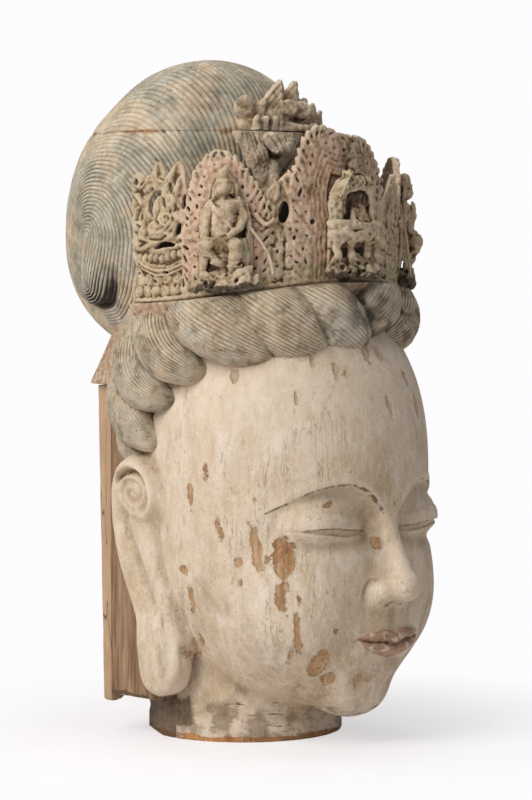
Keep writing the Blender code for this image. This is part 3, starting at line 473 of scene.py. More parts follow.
def face(x, y, z):
    ax = np.abs(x)
    f = face_core(x, y, z)
    z = feature_height(z)
    front = sstep(-104, -120, y)
    # hollow below the brow: crisp at the crest, fading into the cheek
    zb = brow_line(ax)
    s = zb - z
    deep = 9.0 + 5.0 * gauss(ax - 20, 13) - 6.5 * sstep(62, 100, ax)
    sock = deep * (1 - np.exp(-np.clip(s, 0, 99) / 6.0)) * sstep(176, 208, z) * sstep(112, 90, ax) * sstep(3, 14, ax)
    f = f + (sock - 1.1 * gauss(s + 3.0, 4.5) * sstep(108, 90, ax) * sstep(6, 16, ax)) * front
    # nose: a straight ridge on broad flanks, a round tip between two wings
    nose = capsule(x, y, z, (0, -150, 232), (0, -168, 150), 12.5, 22.5)
    nose = smin(nose, capsule(x, y, z, (0, -164, 230), (0, -193, 154), 6.2, 9.4), 9)
    nose = smin(nose, ell(x, y, z, (0, -190, 147), (14.5, 16.0, 13.2)), 9)
    nose = smin(nose, ell(ax, y, z, (17.0, -173, 142), (10.6, 17, 11.0)), 7)
    f = smin(f, nose, 8)
    f = f + 1.5 * gauss(np.hypot((ax - 15) / 1.0, (z - 141) / 1.0) - 15.0, 2.2) * sstep(16, 21, ax) * sstep(134, 142, z) * sstep(162, 150, z) * front
    f = smax(f, -ell(ax, y, z, (9.0, -184, 131.5), (4.6, 7.8, 4.0)), 2.5)
    # eyeball under the lids; the upper lid stands proud of the lower
    ball = ell(ax, y, z, (52, -139.5, 210.5), (39, 29.5, 22.0))
    zs, wo, t = eye_line(ax)
    op = wo - np.abs(z - zs)
    m = sstep(-0.9, 0.7, op)
    inl = np.clip(1.06 - t * t, 0, 1) ** 0.6
    up = 1.9 * sstep(zs - 1, zs + 1.5, z) * sstep(zs + 22, zs + 4, z) * inl
    dn = 0.7 * sstep(zs + 1, zs - 1.5, z) * sstep(zs - 9, zs - 3, z) * inl
    ball = ball + (1.9 * m - (up + dn) * (1 - m)) * front
    zc = zs + 15.5 - 2.6 * t * t
    ball = ball + 0.55 * gauss(z - zc, 1.5) * sstep(1.1, 0.8, np.abs(t)) * front
    f = smin(f, ball, 10.0)
    # muzzle, groove above the lips, lips, corners and the fold below them
    f = smin(f, ell(x, y, z, (0, -144, 102), (48, 32, 33)), 24)
    lips, _ = lip_fields(ax, z)
    g = 1.3 * gauss(ax, 4.6) * sstep(109, 118, z) * sstep(136, 120, z)
    g = g + 1.3 * gauss(ax - 41, 5) * gauss(z - 100, 7)
    g = g + 3.2 * gauss(z - 78, 7.5) * gauss(ax, 27)
    g = g + 0.7 * gauss((ax - 31 - (135 - z) * 0.5), 6) * sstep(104, 114, z) * sstep(152, 136, z)
    zm = mouth_line(ax)
    g = g + 1.5 * gauss(z - zm, 1.7) * sstep(44, 33, ax)
    return f + (g - lips) * front


def neck(x, y, z):
    r = np.sqrt((x / NECK_R[0]) ** 2 + (y / NECK_R[1]) ** 2 + 1e-9)
    f = (r - 1) * 86.5
    fold = 1.6 * gauss(z - 17 - 0.0008 * x * x, 4.0)
    f = f + fold - 1.5
    f = np.maximum(f, z - 120)
    return f


EAR_EDGE = ((27, 252), (14, 250), (1, 241), (-9, 226), (-12.5, 211), (-6, 199), (-2, 186), (-4, 160), (-12, 132), (-24, 106), (-31, 86),
            (-28, 59), (-17.5, 45), (-2, 40), (11.6, 44), (20, 56), (22, 78), (21, 104), (30.5, 126), (42, 150), (48.5, 175), (50.5, 200), (49.5, 225), (41, 243))


def ear(x, y, z):
    """long ear carved in relief: a soft band rises from the lobe and rolls into a coil at the top"""
    ax = np.abs(x)
    E = np.asarray(spline(list(EAR_EDGE) + [EAR_EDGE[0]], 72))
    # signed distance to the outline in the side plane
    d2 = np.full(np.shape(y), 1e9)
    ins = np.zeros(np.shape(y), bool)
    for (ya, za), (yb, zb) in zip(E[:-1], E[1:]):
        ey, ez = yb - ya, zb - za
        u = np.clip(((y - ya) * ey + (z - za) * ez) / (ey * ey + ez * ez + 1e-9), 0, 1)
        d2 = np.minimum(d2, (y - ya - u * ey) ** 2 + (z - za - u * ez) ** 2)
        c = (za > z) != (zb > z)
        ins ^= c & (y < (yb - ya) * (z - za) / (zb - za + 1e-12) + ya)
    edge = np.where(ins, -1, 1) * np.sqrt(d2)

    def run(pts, n=26):
        K = spline(pts, n)
        best = np.full(np.shape(y), 1e9)
        at = np.zeros(np.shape(y))
        for i, ((ya, za), (yb, zb)) in enumerate(zip(K[:-1], K[1:])):
            ey, ez = yb - ya, zb - za
            u = np.clip(((y - ya) * ey + (z - za) * ez) / (ey * ey + ez * ez + 1e-9), 0, 1)
            q = (y - ya - u * ey) ** 2 + (z - za - u * ez) ** 2
            m = q < best
            best = np.where(m, q, best)
            at = np.where(m, (i + u) / (n - 1), at)
        return np.sqrt(best), at
    # the skin of the plate, a little hollow toward the cheek
    out = EAR_X - 1.5 + 0.03 * (z - 150) - 2.6 * gauss(z - 150, 46)
    d, u = run(((12, 92), (22, 118), (33, 146), (40.5, 174), (43.5, 204), (42, 226), (34, 240), (22, 245.5), (8, 241.5), (-2.5, 230), (-6, 214), (-1.5, 203.5), (8, 199.5), (19, 202)))
    wide = 13.5 - 8.0 * sstep(0.05, 0.5, u)
    out = out + (3.4 + 3.0 * sstep(0.35, 0.6, u) - 2.6 * sstep(0.82, 1.0, u)) * np.exp(-(d / wide) ** 2)
    # flat snail inside the roll
    ry, rz = (y - 18.5), (z - 218.5) * 1.12
    rho, phi = np.hypot(ry, rz), np.arctan2(rz, ry)
    whorl = np.cos(2 * np.pi * (rho / 10.5) + phi + 0.8)
    inside = sstep(22, 15, rho)
    out = out + inside * (1.6 + 1.35 * whorl * sstep(1.0, 5.0, rho) + 1.2 * gauss(rho, 3.5))
    # deep shadow below the overhanging roll, shallower round the snail
    d, u = run(((41, 226), (34, 234.5), (22, 238), (9, 235), (1.5, 226), (-0.5, 215)), 16)
    out = out - 9.0 * np.exp(-(d / 2.3) ** 2) * sstep(0.0, 0.12, u) * sstep(0.86, 0.55, u) - 1.6 * np.exp(-(d / 2.0) ** 2) * sstep(0.5, 0.7, u)
    d, u = run(((36, 222), (35, 206), (31, 192), (24, 172), (12, 146), (2, 126), (-6, 112)), 16)
    out = out - 3.0 * np.exp(-(d / 5.0) ** 2) * np.sin(np.pi * np.clip(u, 0, 1)) ** 0.5
    # full lobe
    out = out + 3.6 * np.exp(-((y + 4) / 20) ** 2 - ((z - 72) / 27) ** 2) - 1.2 * np.exp(-((y + 2) / 9) ** 2 - ((z - 60) / 9) ** 2)
    f = smax(ax - out, edge, 9.0)
    return smax(f, 96 - ax, 2)


def head_bare(x, y, z):
    """face, neck, ears and the raw back of the block, without hair"""
    f = face(x, y, z)
    near = (np.abs(x) > 78) & (y > -62) & (y < 72) & (z > 18) & (z < 272)
    e = np.full(np.shape(f), 40.0)
    if near.any():
        e[near] = ear(x[near], y[near], z[near])
    f = smin(f, e, 7)
    f = smax(f, -capsule(np.abs(x), y, z, (116, -34, 104), (106, -33, 58), 3.4), 2.5)
    f = smin(f, neck(x, y, z), 7)
    f = np.where(z > 34, np.minimum(f, np.maximum(np.maximum(np.abs(x) - 105, y - 66), np.maximum(-y, np.maximum(34 - z, z - 300)))), f)
    f = smax(f, y - BACK_Y, 2)
    f = np.maximum(f, -z)
    f = np.where(z < 34, smax(f, -0.86 * x + 0.51 * y - 84, 1.5), f)
    return f


def bare_block(x, y, z):
    """the head with the sloping seat of the crown; the hair is laid on it"""
    f = np.minimum(head_bare(x, y, z), cap(x, y, z))
    th = np.degrees(np.arctan2(-x, -(y - AX_Y)))
    rho = np.hypot(x, y - AX_Y)
    room = np.maximum(np.maximum(122 - rho, base_line(th) - 0.9 - z), (np.abs(th) - 99) * 2)
    return np.maximum(f, -room)


# --------------------------------------------------------- forms under the hair
def base_line(th):
    """height of the crown's lower edge at an angle (degrees) from the front"""
    return 387.0 + 19.0 * (0.5 + 0.5 * np.cos(np.radians(np.clip(np.abs(th), 0, 100) * 1.8)))


def cap(x, y, z):
    """sloping seat of the crown, with an eave over the back"""
    q = ((np.abs(x) / 112.0) ** 4 + (np.abs(y + 17) / 114.0) ** 4 + 1e-9) ** 0.25
    e = ((np.abs(x) / 113.5) ** 9 + (np.abs(y + 17) / 117.5) ** 9 + 1e-9) ** (1 / 9)
    q = np.where(y > -17, q + (e - q) * sstep(10, 50, y), q)
    f = (q - 1) * 112 + (z - 314) * 0.33
    th = np.degrees(np.arctan2(-x, -(y - AX_Y)))
    top = base_line(th) - 0.9
    # collar below the crown, flaring outward as it rises
    rho = np.hypot(x, y - AX_Y)
    collar = (rho - 135.5 + 0.62 * np.clip(top - z, 0, 60)) * 0.85
    collar = smax(collar, np.maximum(345 - z, (np.abs(th) - 98.5) * 2.2), 3)
    f = smin(f, collar, 5)
    f = smax(f, z - top, 1.5)
    return smax(f, 313.2 - z, 1.6)


def chignon(x, y, z):
    """two swelling lobes of drawn-up hair, with a coil on each side"""
    dz = z - 445
    rz = np.where(dz > 0, 150.0, 116.0)
    ry = np.where(y > 50, 131.0, 88.0)
    G = (np.abs(x) / 122.0) ** 2.1 + (np.abs(y - 50) / ry) ** 2.1 + (np.abs(dz) / rz) ** 2.25
    lo = (G ** (1 / 2.2) - 1) * 122.0
    uy = y - 42
    py = np.where(uy > 0, uy / 97.0, uy / 78.0)
    k0 = np.sqrt((x / 96.0) ** 2 + py ** 2 + ((z - 529) / 77.0) ** 2 + 1e-9)
    up = (k0 - 1) * 84
    return smin(lo, up, 5)


# ------------------------------------------------------------------ the chignon
MID = np.array([0.0, 50.0, 445.0])     # rays to the chignon's surface start here
CORE = np.array([0.215, -0.100])       # the coil's eye on the side, off the side pole
CORE_DIR = np.radians(112.0)           # its long axis
CORE_LEN = 0.125
STRANDS = 50
UNDER_AT = 10.4                        # strand below which the coil is undercut
# places across one strand (0 is the bottom of the groove) and their heights
ACROSS = ((0.0, -1.0), (0.10, -0.42), (0.30, -0.02), (0.62, 0.0), (0.88, -0.36))


def side_map(p, q, side):
    """direction from MID of a point of the flattened side (radius 1 is the middle plane)"""
    r = np.hypot(p, q)
    b = r * np.pi / 2
    s = np.where(r > 1e-9, np.sin(b) / np.maximum(r, 1e-9), np.pi / 2)
    return np.stack([side * np.cos(b), p * s, q * s], -1)


def ray_surface(D, fn, far=190.0, steps=34):
    """distance along each direction to the zero of fn"""
    a, b = np.full(len(D), 40.0), np.full(len(D), far)
    for _ in range(steps):
        m = (a + b) / 2
        Q = MID + D * m[:, None]
        out = fn(Q[:, 0], Q[:, 1], Q[:, 2]) > 0
        b = np.where(out, m, b)
        a = np.where(out, a, m)
    return (a + b) / 2


def loop_point(f, al, wob):
    """flattened place of a strand: loops round the eye that grow into the middle plane"""
    c = CORE[None] * (1 - f)[:, None]
    ct = np.cos(al - CORE_DIR)
    e = CORE_LEN * (1 - f) ** 2.5 * ct / np.sqrt(0.10 + ct * ct)
    r = f + wob
    p = c[:, 0] + r * np.cos(al) + e * np.cos(CORE_DIR)
    q = c[:, 1] + r * np.sin(al) + e * np.sin(CORE_DIR)
    return p, q


def chignon_half(side, M=176):
    """strand-aligned points and fields of one half, ring by ring from the eye outward"""
    rows, hgt = [], []
    for j in range(STRANDS):
        for u, g in ACROSS:
            if j + u > 0.35:
                rows.append((j + u) / STRANDS)
                hgt.append(g)
    rows, hgt = np.array(rows + [1.0]), np.array(hgt + [-0.9])
    al = CORE_DIR + np.arange(M) * 2 * np.pi / M
    A, Fr = (v.ravel() for v in np.meshgrid(al, rows))
    G = np.repeat(hgt, M)
    near = np.round(Fr * STRANDS)
    # slow wander of each groove line
    key = np.stack([near * 0.35, np.cos(A) * 3.2, np.sin(A) * 3.2 + 9 * side], 1)
    wander = noise3(key, 1.0, 3) * 0.5 + noise3(key * 2.1, 1.0, 4) * 0.24
    fade = np.clip((1 - Fr) * 8, 0, 1) * np.clip(Fr * STRANDS / 2, 0, 1)
    p, q = loop_point(Fr, A, wander * fade * 0.45 / STRANDS)
    D = side_map(p, q, side)
    S = MID + D * ray_surface(D, chignon)[:, None]
    N = gradient(chignon, S, 0.6)
    N /= np.linalg.norm(N, axis=1)[:, None]
    # the coil stands over an undercut at its lower, front-facing side
    ang = np.degrees(np.arctan2(q - CORE[1] * (1 - Fr), p - CORE[0] * (1 - Fr)))
    dd = (ang + 86 + 180) % 360 - 180
    low = np.exp(-(dd / 60.0) ** 2)
    dj = Fr * STRANDS - UNDER_AT
    deep = low ** 1.3 * np.exp(-(dj / 1.35) ** 2)
    gaps = low * np.exp(-((dj + 3.6) / 3.2) ** 2)
    depth = np.clip(1.15 + 0.45 * noise3(S, 26, 7) + 2.2 * gaps, 0.4, 3.6)
    ridge = 0.18 * noise3(np.stack([near * 1.7, A * 2, near * 0], 1), 1.0, 9)
    coil = 3.2 * low * sstep(0.5, -2.0, dj) * sstep(-11, -4, dj)
    outer = -3.0 * low * sstep(-0.5, 1.0, dj) * sstep(7.0, 1.5, dj)
    off = G * depth + ridge + coil + outer - 7.5 * deep
    P = S + N * off[:, None]
    P[-M:, 0] = 0.0
    groove = np.clip(-G, 0, 1) * np.clip(depth / 1.25, 0.35, 1.4)
    # painted shade: near black in the undercut below the coil and in the wide grooves beside it, a little darker inside
    # the coil
    dark = np.clip(deep * 1.9 + 1.2 * gaps * np.clip(-G * 1.6, 0, 1) + 0.25 * gaps + 0.16 * sstep(2, -3, dj), 0, 1)
    F = np.stack([groove, dark, np.clip(1 - np.abs(dj) / 9, 0, 1)], 1)
    return P.reshape(-1, M, 3), F.reshape(-1, M, 3)


def rings_to_tris(a, b):
    a2, b2 = np.roll(a, -1, -1), np.roll(b, -1, -1)
    return np.concatenate([np.stack([a, a2, b2], -1).reshape(-1, 3), np.stack([a, b2, b], -1).reshape(-1, 3)])


def chignon_skin():
    """closed skin of the whole chignon, its halves meeting in the middle plane"""
    pts, fls, tris = [], [], []
    P, F = chignon_half(-1.0)
    R, M = P.shape[:2]
    P2, F2 = chignon_half(1.0)
    # both halves share the middle ring
    idx = np.arange(R * M).reshape(R, M)
    pts, fls = [P.reshape(-1, 3), P2[:-1].reshape(-1, 3)], [F.reshape(-1, 3), F2[:-1].reshape(-1, 3)]
    jdx = np.concatenate([R * M + np.arange((R - 1) * M).reshape(R - 1, M), idx[-1:]])
    for k, ii in enumerate((idx, jdx)):
        t = rings_to_tris(ii[:-1], ii[1:])
        r0, h = ii[0], M // 2
        br = [[r0[0], r0[1], r0[M - 1]], [r0[h - 1], r0[h], r0[h + 1]]]
        for i in range(1, h - 1):
            a, b, c, d = r0[i], r0[i + 1], r0[M - i - 1], r0[M - i]
            br += [[a, b, c], [a, c, d]]
        br = np.array(br)
        if k == 0:
            tris += [t[:, ::-1], br]
        else:
            tris += [t, br[:, ::-1]]
    T = np.concatenate(tris)
    V = np.concatenate(pts)
    # faces outward
    c = V[T].mean(1)
    n = np.cross(V[T[:, 1]] - V[T[:, 0]], V[T[:, 2]] - V[T[:, 0]])
    if ((c - MID) * n).sum() < 0:
        T = T[:, ::-1]
    return V, T, np.concatenate(fls)


# ---------------------------------------------------------------- the hair roll
def place(th, z, rho):
    a = np.radians(th)
    return np.stack([-rho * np.sin(a), AX_Y - rho * np.cos(a), z + 0 * a], -1)


# locks of the roll: (angle, height, out, half width, half thickness) along each,
# the turn of the strands round it in degrees, and the strands' count
LOCKS = {
    "front_a": ([(82, 397, 108, 26, 12), (73, 389, 116, 30, 18), (62, 376, 124, 33, 24), (51, 362, 127, 30, 24), (41, 351, 124, 20, 18), (33, 345, 116, 5, 7)], 12, 60),
    "front_b": ([(57, 402, 112, 22, 12), (48, 392, 120, 27, 17), (38, 378, 129, 30, 23), (28, 364, 132, 27, 22), (19, 354, 127, 17, 15), (12, 349, 119, 4, 6)], 12, 54),
    "front_c": ([(33, 403, 115, 20, 12), (25, 393, 124, 25, 16), (16, 379, 132, 27, 22), (7, 365, 133, 24, 20), (0, 356, 128, 14, 14), (-6, 352, 120, 4, 6)], 10, 48),
    "front_m": ([(-34, 402, 113, 20, 10), (-24, 399, 122, 24, 15), (-14, 389, 131, 25, 19), (-5, 376, 134, 20, 18), (2, 365, 130, 12, 12), (7, 357, 122, 4, 5)], -10, 40),
    "front_d": ([(-54, 402, 110, 20, 12), (-46, 391, 119, 24, 17), (-36, 377, 128, 27, 23), (-26, 364, 131, 24, 22), (-18, 354, 126, 15, 15), (-11, 349, 119, 4, 6)], -12, 50),
    "front_e": ([(-88, 398, 104, 20, 12), (-79, 387, 112, 24, 18), (-69, 374, 121, 27, 23), (-58, 361, 125, 25, 23), (-49, 351, 120, 16, 16), (-42, 346, 113, 4, 6)], -12, 50),
    "side_a": ([(95, 396, 102, 20, 13), (93, 378, 109, 25, 18), (88, 358, 114, 27, 23), (81, 341, 117, 24, 22), (72, 330, 116, 15, 15), (64, 326, 110, 4, 6)], 12, 52),
    "side_b": ([(107, 384, 99, 18, 12), (109, 364, 106, 25, 18), (107, 341, 111, 28, 22), (101, 320, 114, 26, 22), (91, 306, 114, 16, 16), (81, 301, 107, 4, 6)], 12, 54),
    "side_c": ([(121, 356, 98, 17, 10), (121, 333, 107, 25, 16), (118, 308, 112, 27, 20), (111, 286, 114, 24, 19), (101, 270, 112, 16, 14), (91, 261, 106, 4, 6)], 10, 48),
    "nape": ([(129, 322, 98, 14, 8), (128, 298, 105, 18, 12), (124, 275, 109, 19, 14), (117, 257, 110, 15, 12), (107, 245, 106, 6, 7)], 6, 32),
}


def lock_skin(name, K, twist, count, seed):
    """one lock of combed hair: strands run along it, turning slowly round it"""
    K = np.array(K, float)
    n = 30
    S = spline(K, n)
    C = place(S[:, 0], S[:, 1], S[:, 2])
    T = np.gradient(C, axis=0)
    T /= np.linalg.norm(T, axis=1)[:, None]
    a = np.radians(S[:, 0])
    out = np.stack([-np.sin(a), -np.cos(a), 0 * a], 1)          # away from the ring's axis
    B = np.cross(T, out)
    B /= np.linalg.norm(B, axis=1)[:, None]
    Nn = np.cross(B, T)
    t = np.linspace(0, 1, n)
    # round places: fine over the outer side, coarse behind
    vis = []
    hgt = []
    span = 250.0
    per = span / (count * 0.66)
    k = int(span / per)
    for j in range(k):
        for u, g in ((0.0, -1.0), (0.16, -0.3), (0.5, 0.0), (0.84, -0.3)):
            vis.append(-span / 2 + (j + u) * per)
            hgt.append(g)
    vis.append(span / 2)
    hgt.append(-1.0)
    for b in np.linspace(span / 2, 360 - span / 2, 9)[1:-1]:
        vis.append(b)
        hgt.append(-0.2)
    W, G = np.array(vis), np.array(hgt)
    M = len(W)
    w, tt = np.meshgrid(W, t)
    g = np.repeat(G[None], n, 0)
    near = np.round(w / per)
    wob = noise3(np.stack([near.ravel() * 0.4, tt.ravel() * 4, 0 * near.ravel()], 1), 1.0, seed).reshape(w.shape) * per * 0.33
    ang = np.radians(w + wob + twist * (tt - 0.5) * 2)
    rb, rn = S[:, 3][:, None], S[:, 4][:, None]
    # fuller toward the lower edge, as hair that hangs over its own end
    full = 1 + 0.06 * np.cos(ang - 0.5)
    depth = np.minimum(0.95, 0.055 * rb) * (0.85 + 0.55 * noise3(np.stack([near.ravel() * 0.7, tt.ravel() * 5, 3 + 0 * near.ravel()], 1), 1.0, seed + 1).reshape(w.shape))
    ridge = 0.22 * noise3(np.stack([near.ravel() * 1.9, tt.ravel() * 2, 7 + 0 * near.ravel()], 1), 1.0, seed + 2).reshape(w.shape)
    e = g * depth + ridge
    x = (rn * full + e) * np.cos(ang)
    y = (rb * full + e) * np.sin(ang)
    P = C[:, None] + Nn[:, None] * x[..., None] + B[:, None] * y[..., None]
    V = P.reshape(-1, 3)
    idx = np.arange(n * M).reshape(n, M)
    tr = rings_to_tris(idx[:-1], idx[1:])
    # close both ends at a point
    c0, c1 = C[0] - T[0] * rb[0, 0] * 0.5, C[-1] + T[-1] * rb[-1, 0] * 0.5
    V = np.concatenate([V, c0[None], c1[None]])
    i0, i1 = n * M, n * M + 1
    ends = np.concatenate([np.stack([np.full(M, i0), np.roll(idx[0], -1), idx[0]], 1), np.stack([np.full(M, i1), idx[-1], np.roll(idx[-1], -1)], 1)])
    tr = np.concatenate([tr, ends])
    cen = V[tr].mean(1)
    nn = np.cross(V[tr[:, 1]] - V[tr[:, 0]], V[tr[:, 2]] - V[tr[:, 0]])
    mid = C[n // 2]
    if ((cen - mid) * nn).sum() < 0:
        tr = tr[:, ::-1]
    groove = np.concatenate([np.clip(-g, 0, 1).ravel(), [0.5, 0.5]])
    # painted shade where a lock dives under its neighbour, and on the lock's sides and back away from its outer face
    endd = np.concatenate([np.clip((tt - 0.80) / 0.2, 0, 1).ravel() * 0.8 + np.clip((0.10 - tt) / 0.1, 0, 1).ravel() * 0.3, [0.3, 0.9]])
    side = np.concatenate([np.clip((np.abs(w) - 70) / 50, 0, 1).ravel(), [0.5, 0.5]])
    return V, tr, groove, np.clip(endd + 0.5 * side, 0, 1)


def roll_skin(names):
    """all locks, with each point's distance to the next lock, for the painted shade where one meets another"""
    from mathutils.kdtree import KDTree
    Vs, Ts, gs, ds, who = [], [], [], [], []
    base = 0
    for k, nm in enumerate(names):
        mirror = nm.endswith("_m") and nm != "front_m"
        K, tw, cnt = LOCKS[nm[:-2] if mirror else nm]
        V, T, g, d = lock_skin(nm, K, tw, cnt, 20 + 7 * k)
        if mirror:
            V = V * np.array([-1, 1, 1])
            T = T[:, ::-1]
        Vs.append(V)
        Ts.append(T + base)
        gs.append(g)
        ds.append(d)
        who.append(np.full(len(V), k))
        base += len(V)
    V, who = np.concatenate(Vs), np.concatenate(who)
    seam = np.full(len(V), 9.0)
    for k in range(len(names)):
        own = np.where(who == k)[0]
        lo, hi = V[own].min(0) - 8, V[own].max(0) + 8
        oth = np.where((who != k) & ((V > lo) & (V < hi)).all(1))[0]
        if len(oth) == 0:
            continue
        kd = KDTree(len(oth))
        for i, p in enumerate(V[oth].tolist()):
            kd.insert(p, i)
        kd.balance()
        seam[own] = [kd.find(p)[2] for p in V[own].tolist()]
    return V, np.concatenate(Ts), np.concatenate(gs), np.concatenate(ds), seam


# ------------------------------------------------------------- pierced crown
B_AT = 7.0         # place of the middle figure, degrees from the front
FLAT = 6.0         # the ring is a little flattened there


class Canvas:
    """Signed-distance block of the unrolled crown: s along the ring, t up, w outward."""

    def __init__(self, s, t, w, h):
        self.h = h
        self.lo = np.array([s[0], t[0], w[0]], float)
        n = [int(round((b - a) / h)) + 1 for a, b in (s, t, w)]
        self.ax = [self.lo[i] + np.arange(n[i]) * h for i in range(3)]
        self.F = np.full(n, 6.0, np.float32)

    def _sl(self, lo, hi, pad):
        out = []
        for i in range(3):
            a = max(0, int(np.floor((lo[i] - pad - self.lo[i]) / self.h)))
            b = min(len(self.ax[i]), int(np.ceil((hi[i] + pad - self.lo[i]) / self.h)) + 1)
            if b <= a:
                return None
            out.append(slice(a, b))
        return tuple(out)

    def stamp(self, fn, lo, hi, k=1.0, cut=False):
        pad = k + 2.5 * self.h
        sl = self._sl(lo, hi, pad)
        if sl is None:
            return
        S = self.ax[0][sl[0]][:, None, None]
        T = self.ax[1][sl[1]][None, :, None]
        W = self.ax[2][sl[2]][None, None, :]
        v = fn(S, T, W)
        f = self.F[sl]
        if cut:
            self.F[sl] = smax(f, -v, k)
        else:
            self.F[sl] = smin(f, v, k)

    def ball(self, c, r, k=1.0, cut=False, tilt=0.0):
        r = (r, r, r) if np.isscalar(r) else r
        m = max(r[0], r[1]) if tilt else None
        lo = [c[0] - (m or r[0]), c[1] - (m or r[1]), c[2] - r[2]]
        hi = [c[0] + (m or r[0]), c[1] + (m or r[1]), c[2] + r[2]]
        if tilt:
            ca, sa = np.cos(np.radians(tilt)), np.sin(np.radians(tilt))
            fn = lambda s, t, w: ell((s - c[0]) * ca + (t - c[1]) * sa, -(s - c[0]) * sa + (t - c[1]) * ca, w - c[2], (0, 0, 0), r)
        else:
            fn = lambda s, t, w: ell(s, t, w, c, r)
        self.stamp(fn, lo, hi, k, cut)

    def tube(self, pts, r, k=1.0, cut=False):
        pts = [tuple(p) for p in pts]
        rr = [r] * len(pts) if np.isscalar(r) else list(r)
        for a, b, ra, rb in zip(pts[:-1], pts[1:], rr[:-1], rr[1:]):
            m = max(ra, rb)
            lo = [min(a[i], b[i]) - m for i in range(3)]
            hi = [max(a[i], b[i]) + m for i in range(3)]
            self.stamp(lambda s, t, w: capsule(s, t, w, a, b, ra, rb), lo, hi, k, cut)

    def plate(self, f2, box, w0, w1, k=0.8, cut=False, edge=0.8):
        """f2(s, t) signed outline, between depths w0 and w1"""
        c, hw = (w0 + w1) / 2, (w1 - w0) / 2
        lo, hi = [box[0], box[2], w0], [box[1], box[3], w1]
        self.stamp(lambda s, t, w: smax(f2(s, t), np.abs(w - c) - hw, edge), lo, hi, k, cut)


def slab(cv, c, hs, ht, w0, w1, r=1.5, k=0.5, tilt=0.0, cut=False):
    """rounded tablet standing on the ground"""
    ca, sa = np.cos(np.radians(tilt)), np.sin(np.radians(tilt))
    m = np.hypot(hs, ht)

    def f2(s, t):
        a, b = (s - c[0]) * ca + (t - c[1]) * sa, -(s - c[0]) * sa + (t - c[1]) * ca
        qa, qb = np.abs(a) - hs + r, np.abs(b) - ht + r
        return np.hypot(np.maximum(qa, 0), np.maximum(qb, 0)) + np.minimum(np.maximum(qa, qb), 0) - r
    cv.plate(f2, (c[0] - m, c[0] + m, c[1] - m, c[1] + m), w0, w1, k, cut=cut, edge=1.2)


def leaf(cv, p, ang, L, W, w, k=0.5, vein=True, curl=0.0):
    """pointed leaf lying on the ground, from its root p"""
    n = 6
    a = np.radians(ang)
    q = np.array(p, float)
    pts, rad = [], []
    for i in range(n + 1):
        u = i / n
        pts.append((q[0], q[1], w + 0.8 * np.sin(np.pi * u)))
        rad.append(max(0.35, W * np.sin(np.pi * min(0.98, 0.14 + 0.86 * u)) ** 0.8))
        q = q + L / n * np.array([np.cos(a + curl * u), np.sin(a + curl * u)])
    cv.tube(pts, rad, k)
    if vein:
        cv.tube([(x, y, z + r * 0.98) for (x, y, z), r in list(zip(pts, rad))[:-1]], 0.55, 0.3, cut=True)


def spiral(cv, c, r0, turns, start, w, thick, hand=1, k=0.8, lift=0.0):
    n = max(6, int(10 * turns))
    pts, rad = [], []
    for i in range(n + 1):
        u = i / n
        a = np.radians(start) + hand * u * turns * 2 * np.pi
        r = r0 * (1 - u) ** 0.9 + thick * 0.3
        pts.append((c[0] + r * np.cos(a), c[1] + r * np.sin(a), w + lift * u))
        rad.append(thick * (1 - 0.25 * u))
    cv.tube(pts, rad, k)


def flame(cv, p, ang, L, wd, w, depth=3.0, k=0.8, bend=0.35):
    """one flame tongue: a curved drop, from its root p along ang (degrees)"""
    n = 6
    a = np.radians(ang)
    pts, rad = [], []
    for i in range(n + 1):
        u = i / n
        aa = a + bend * u
        if i == 0:
            q = np.array([p[0], p[1]], float)
        else:
            q = q + L / n * np.array([np.cos(aa), np.sin(aa)])
        pts.append((q[0], q[1], w))
        rad.append(wd * (1 - u) ** 0.75 + 0.35)
    cv.tube(pts, rad, k)


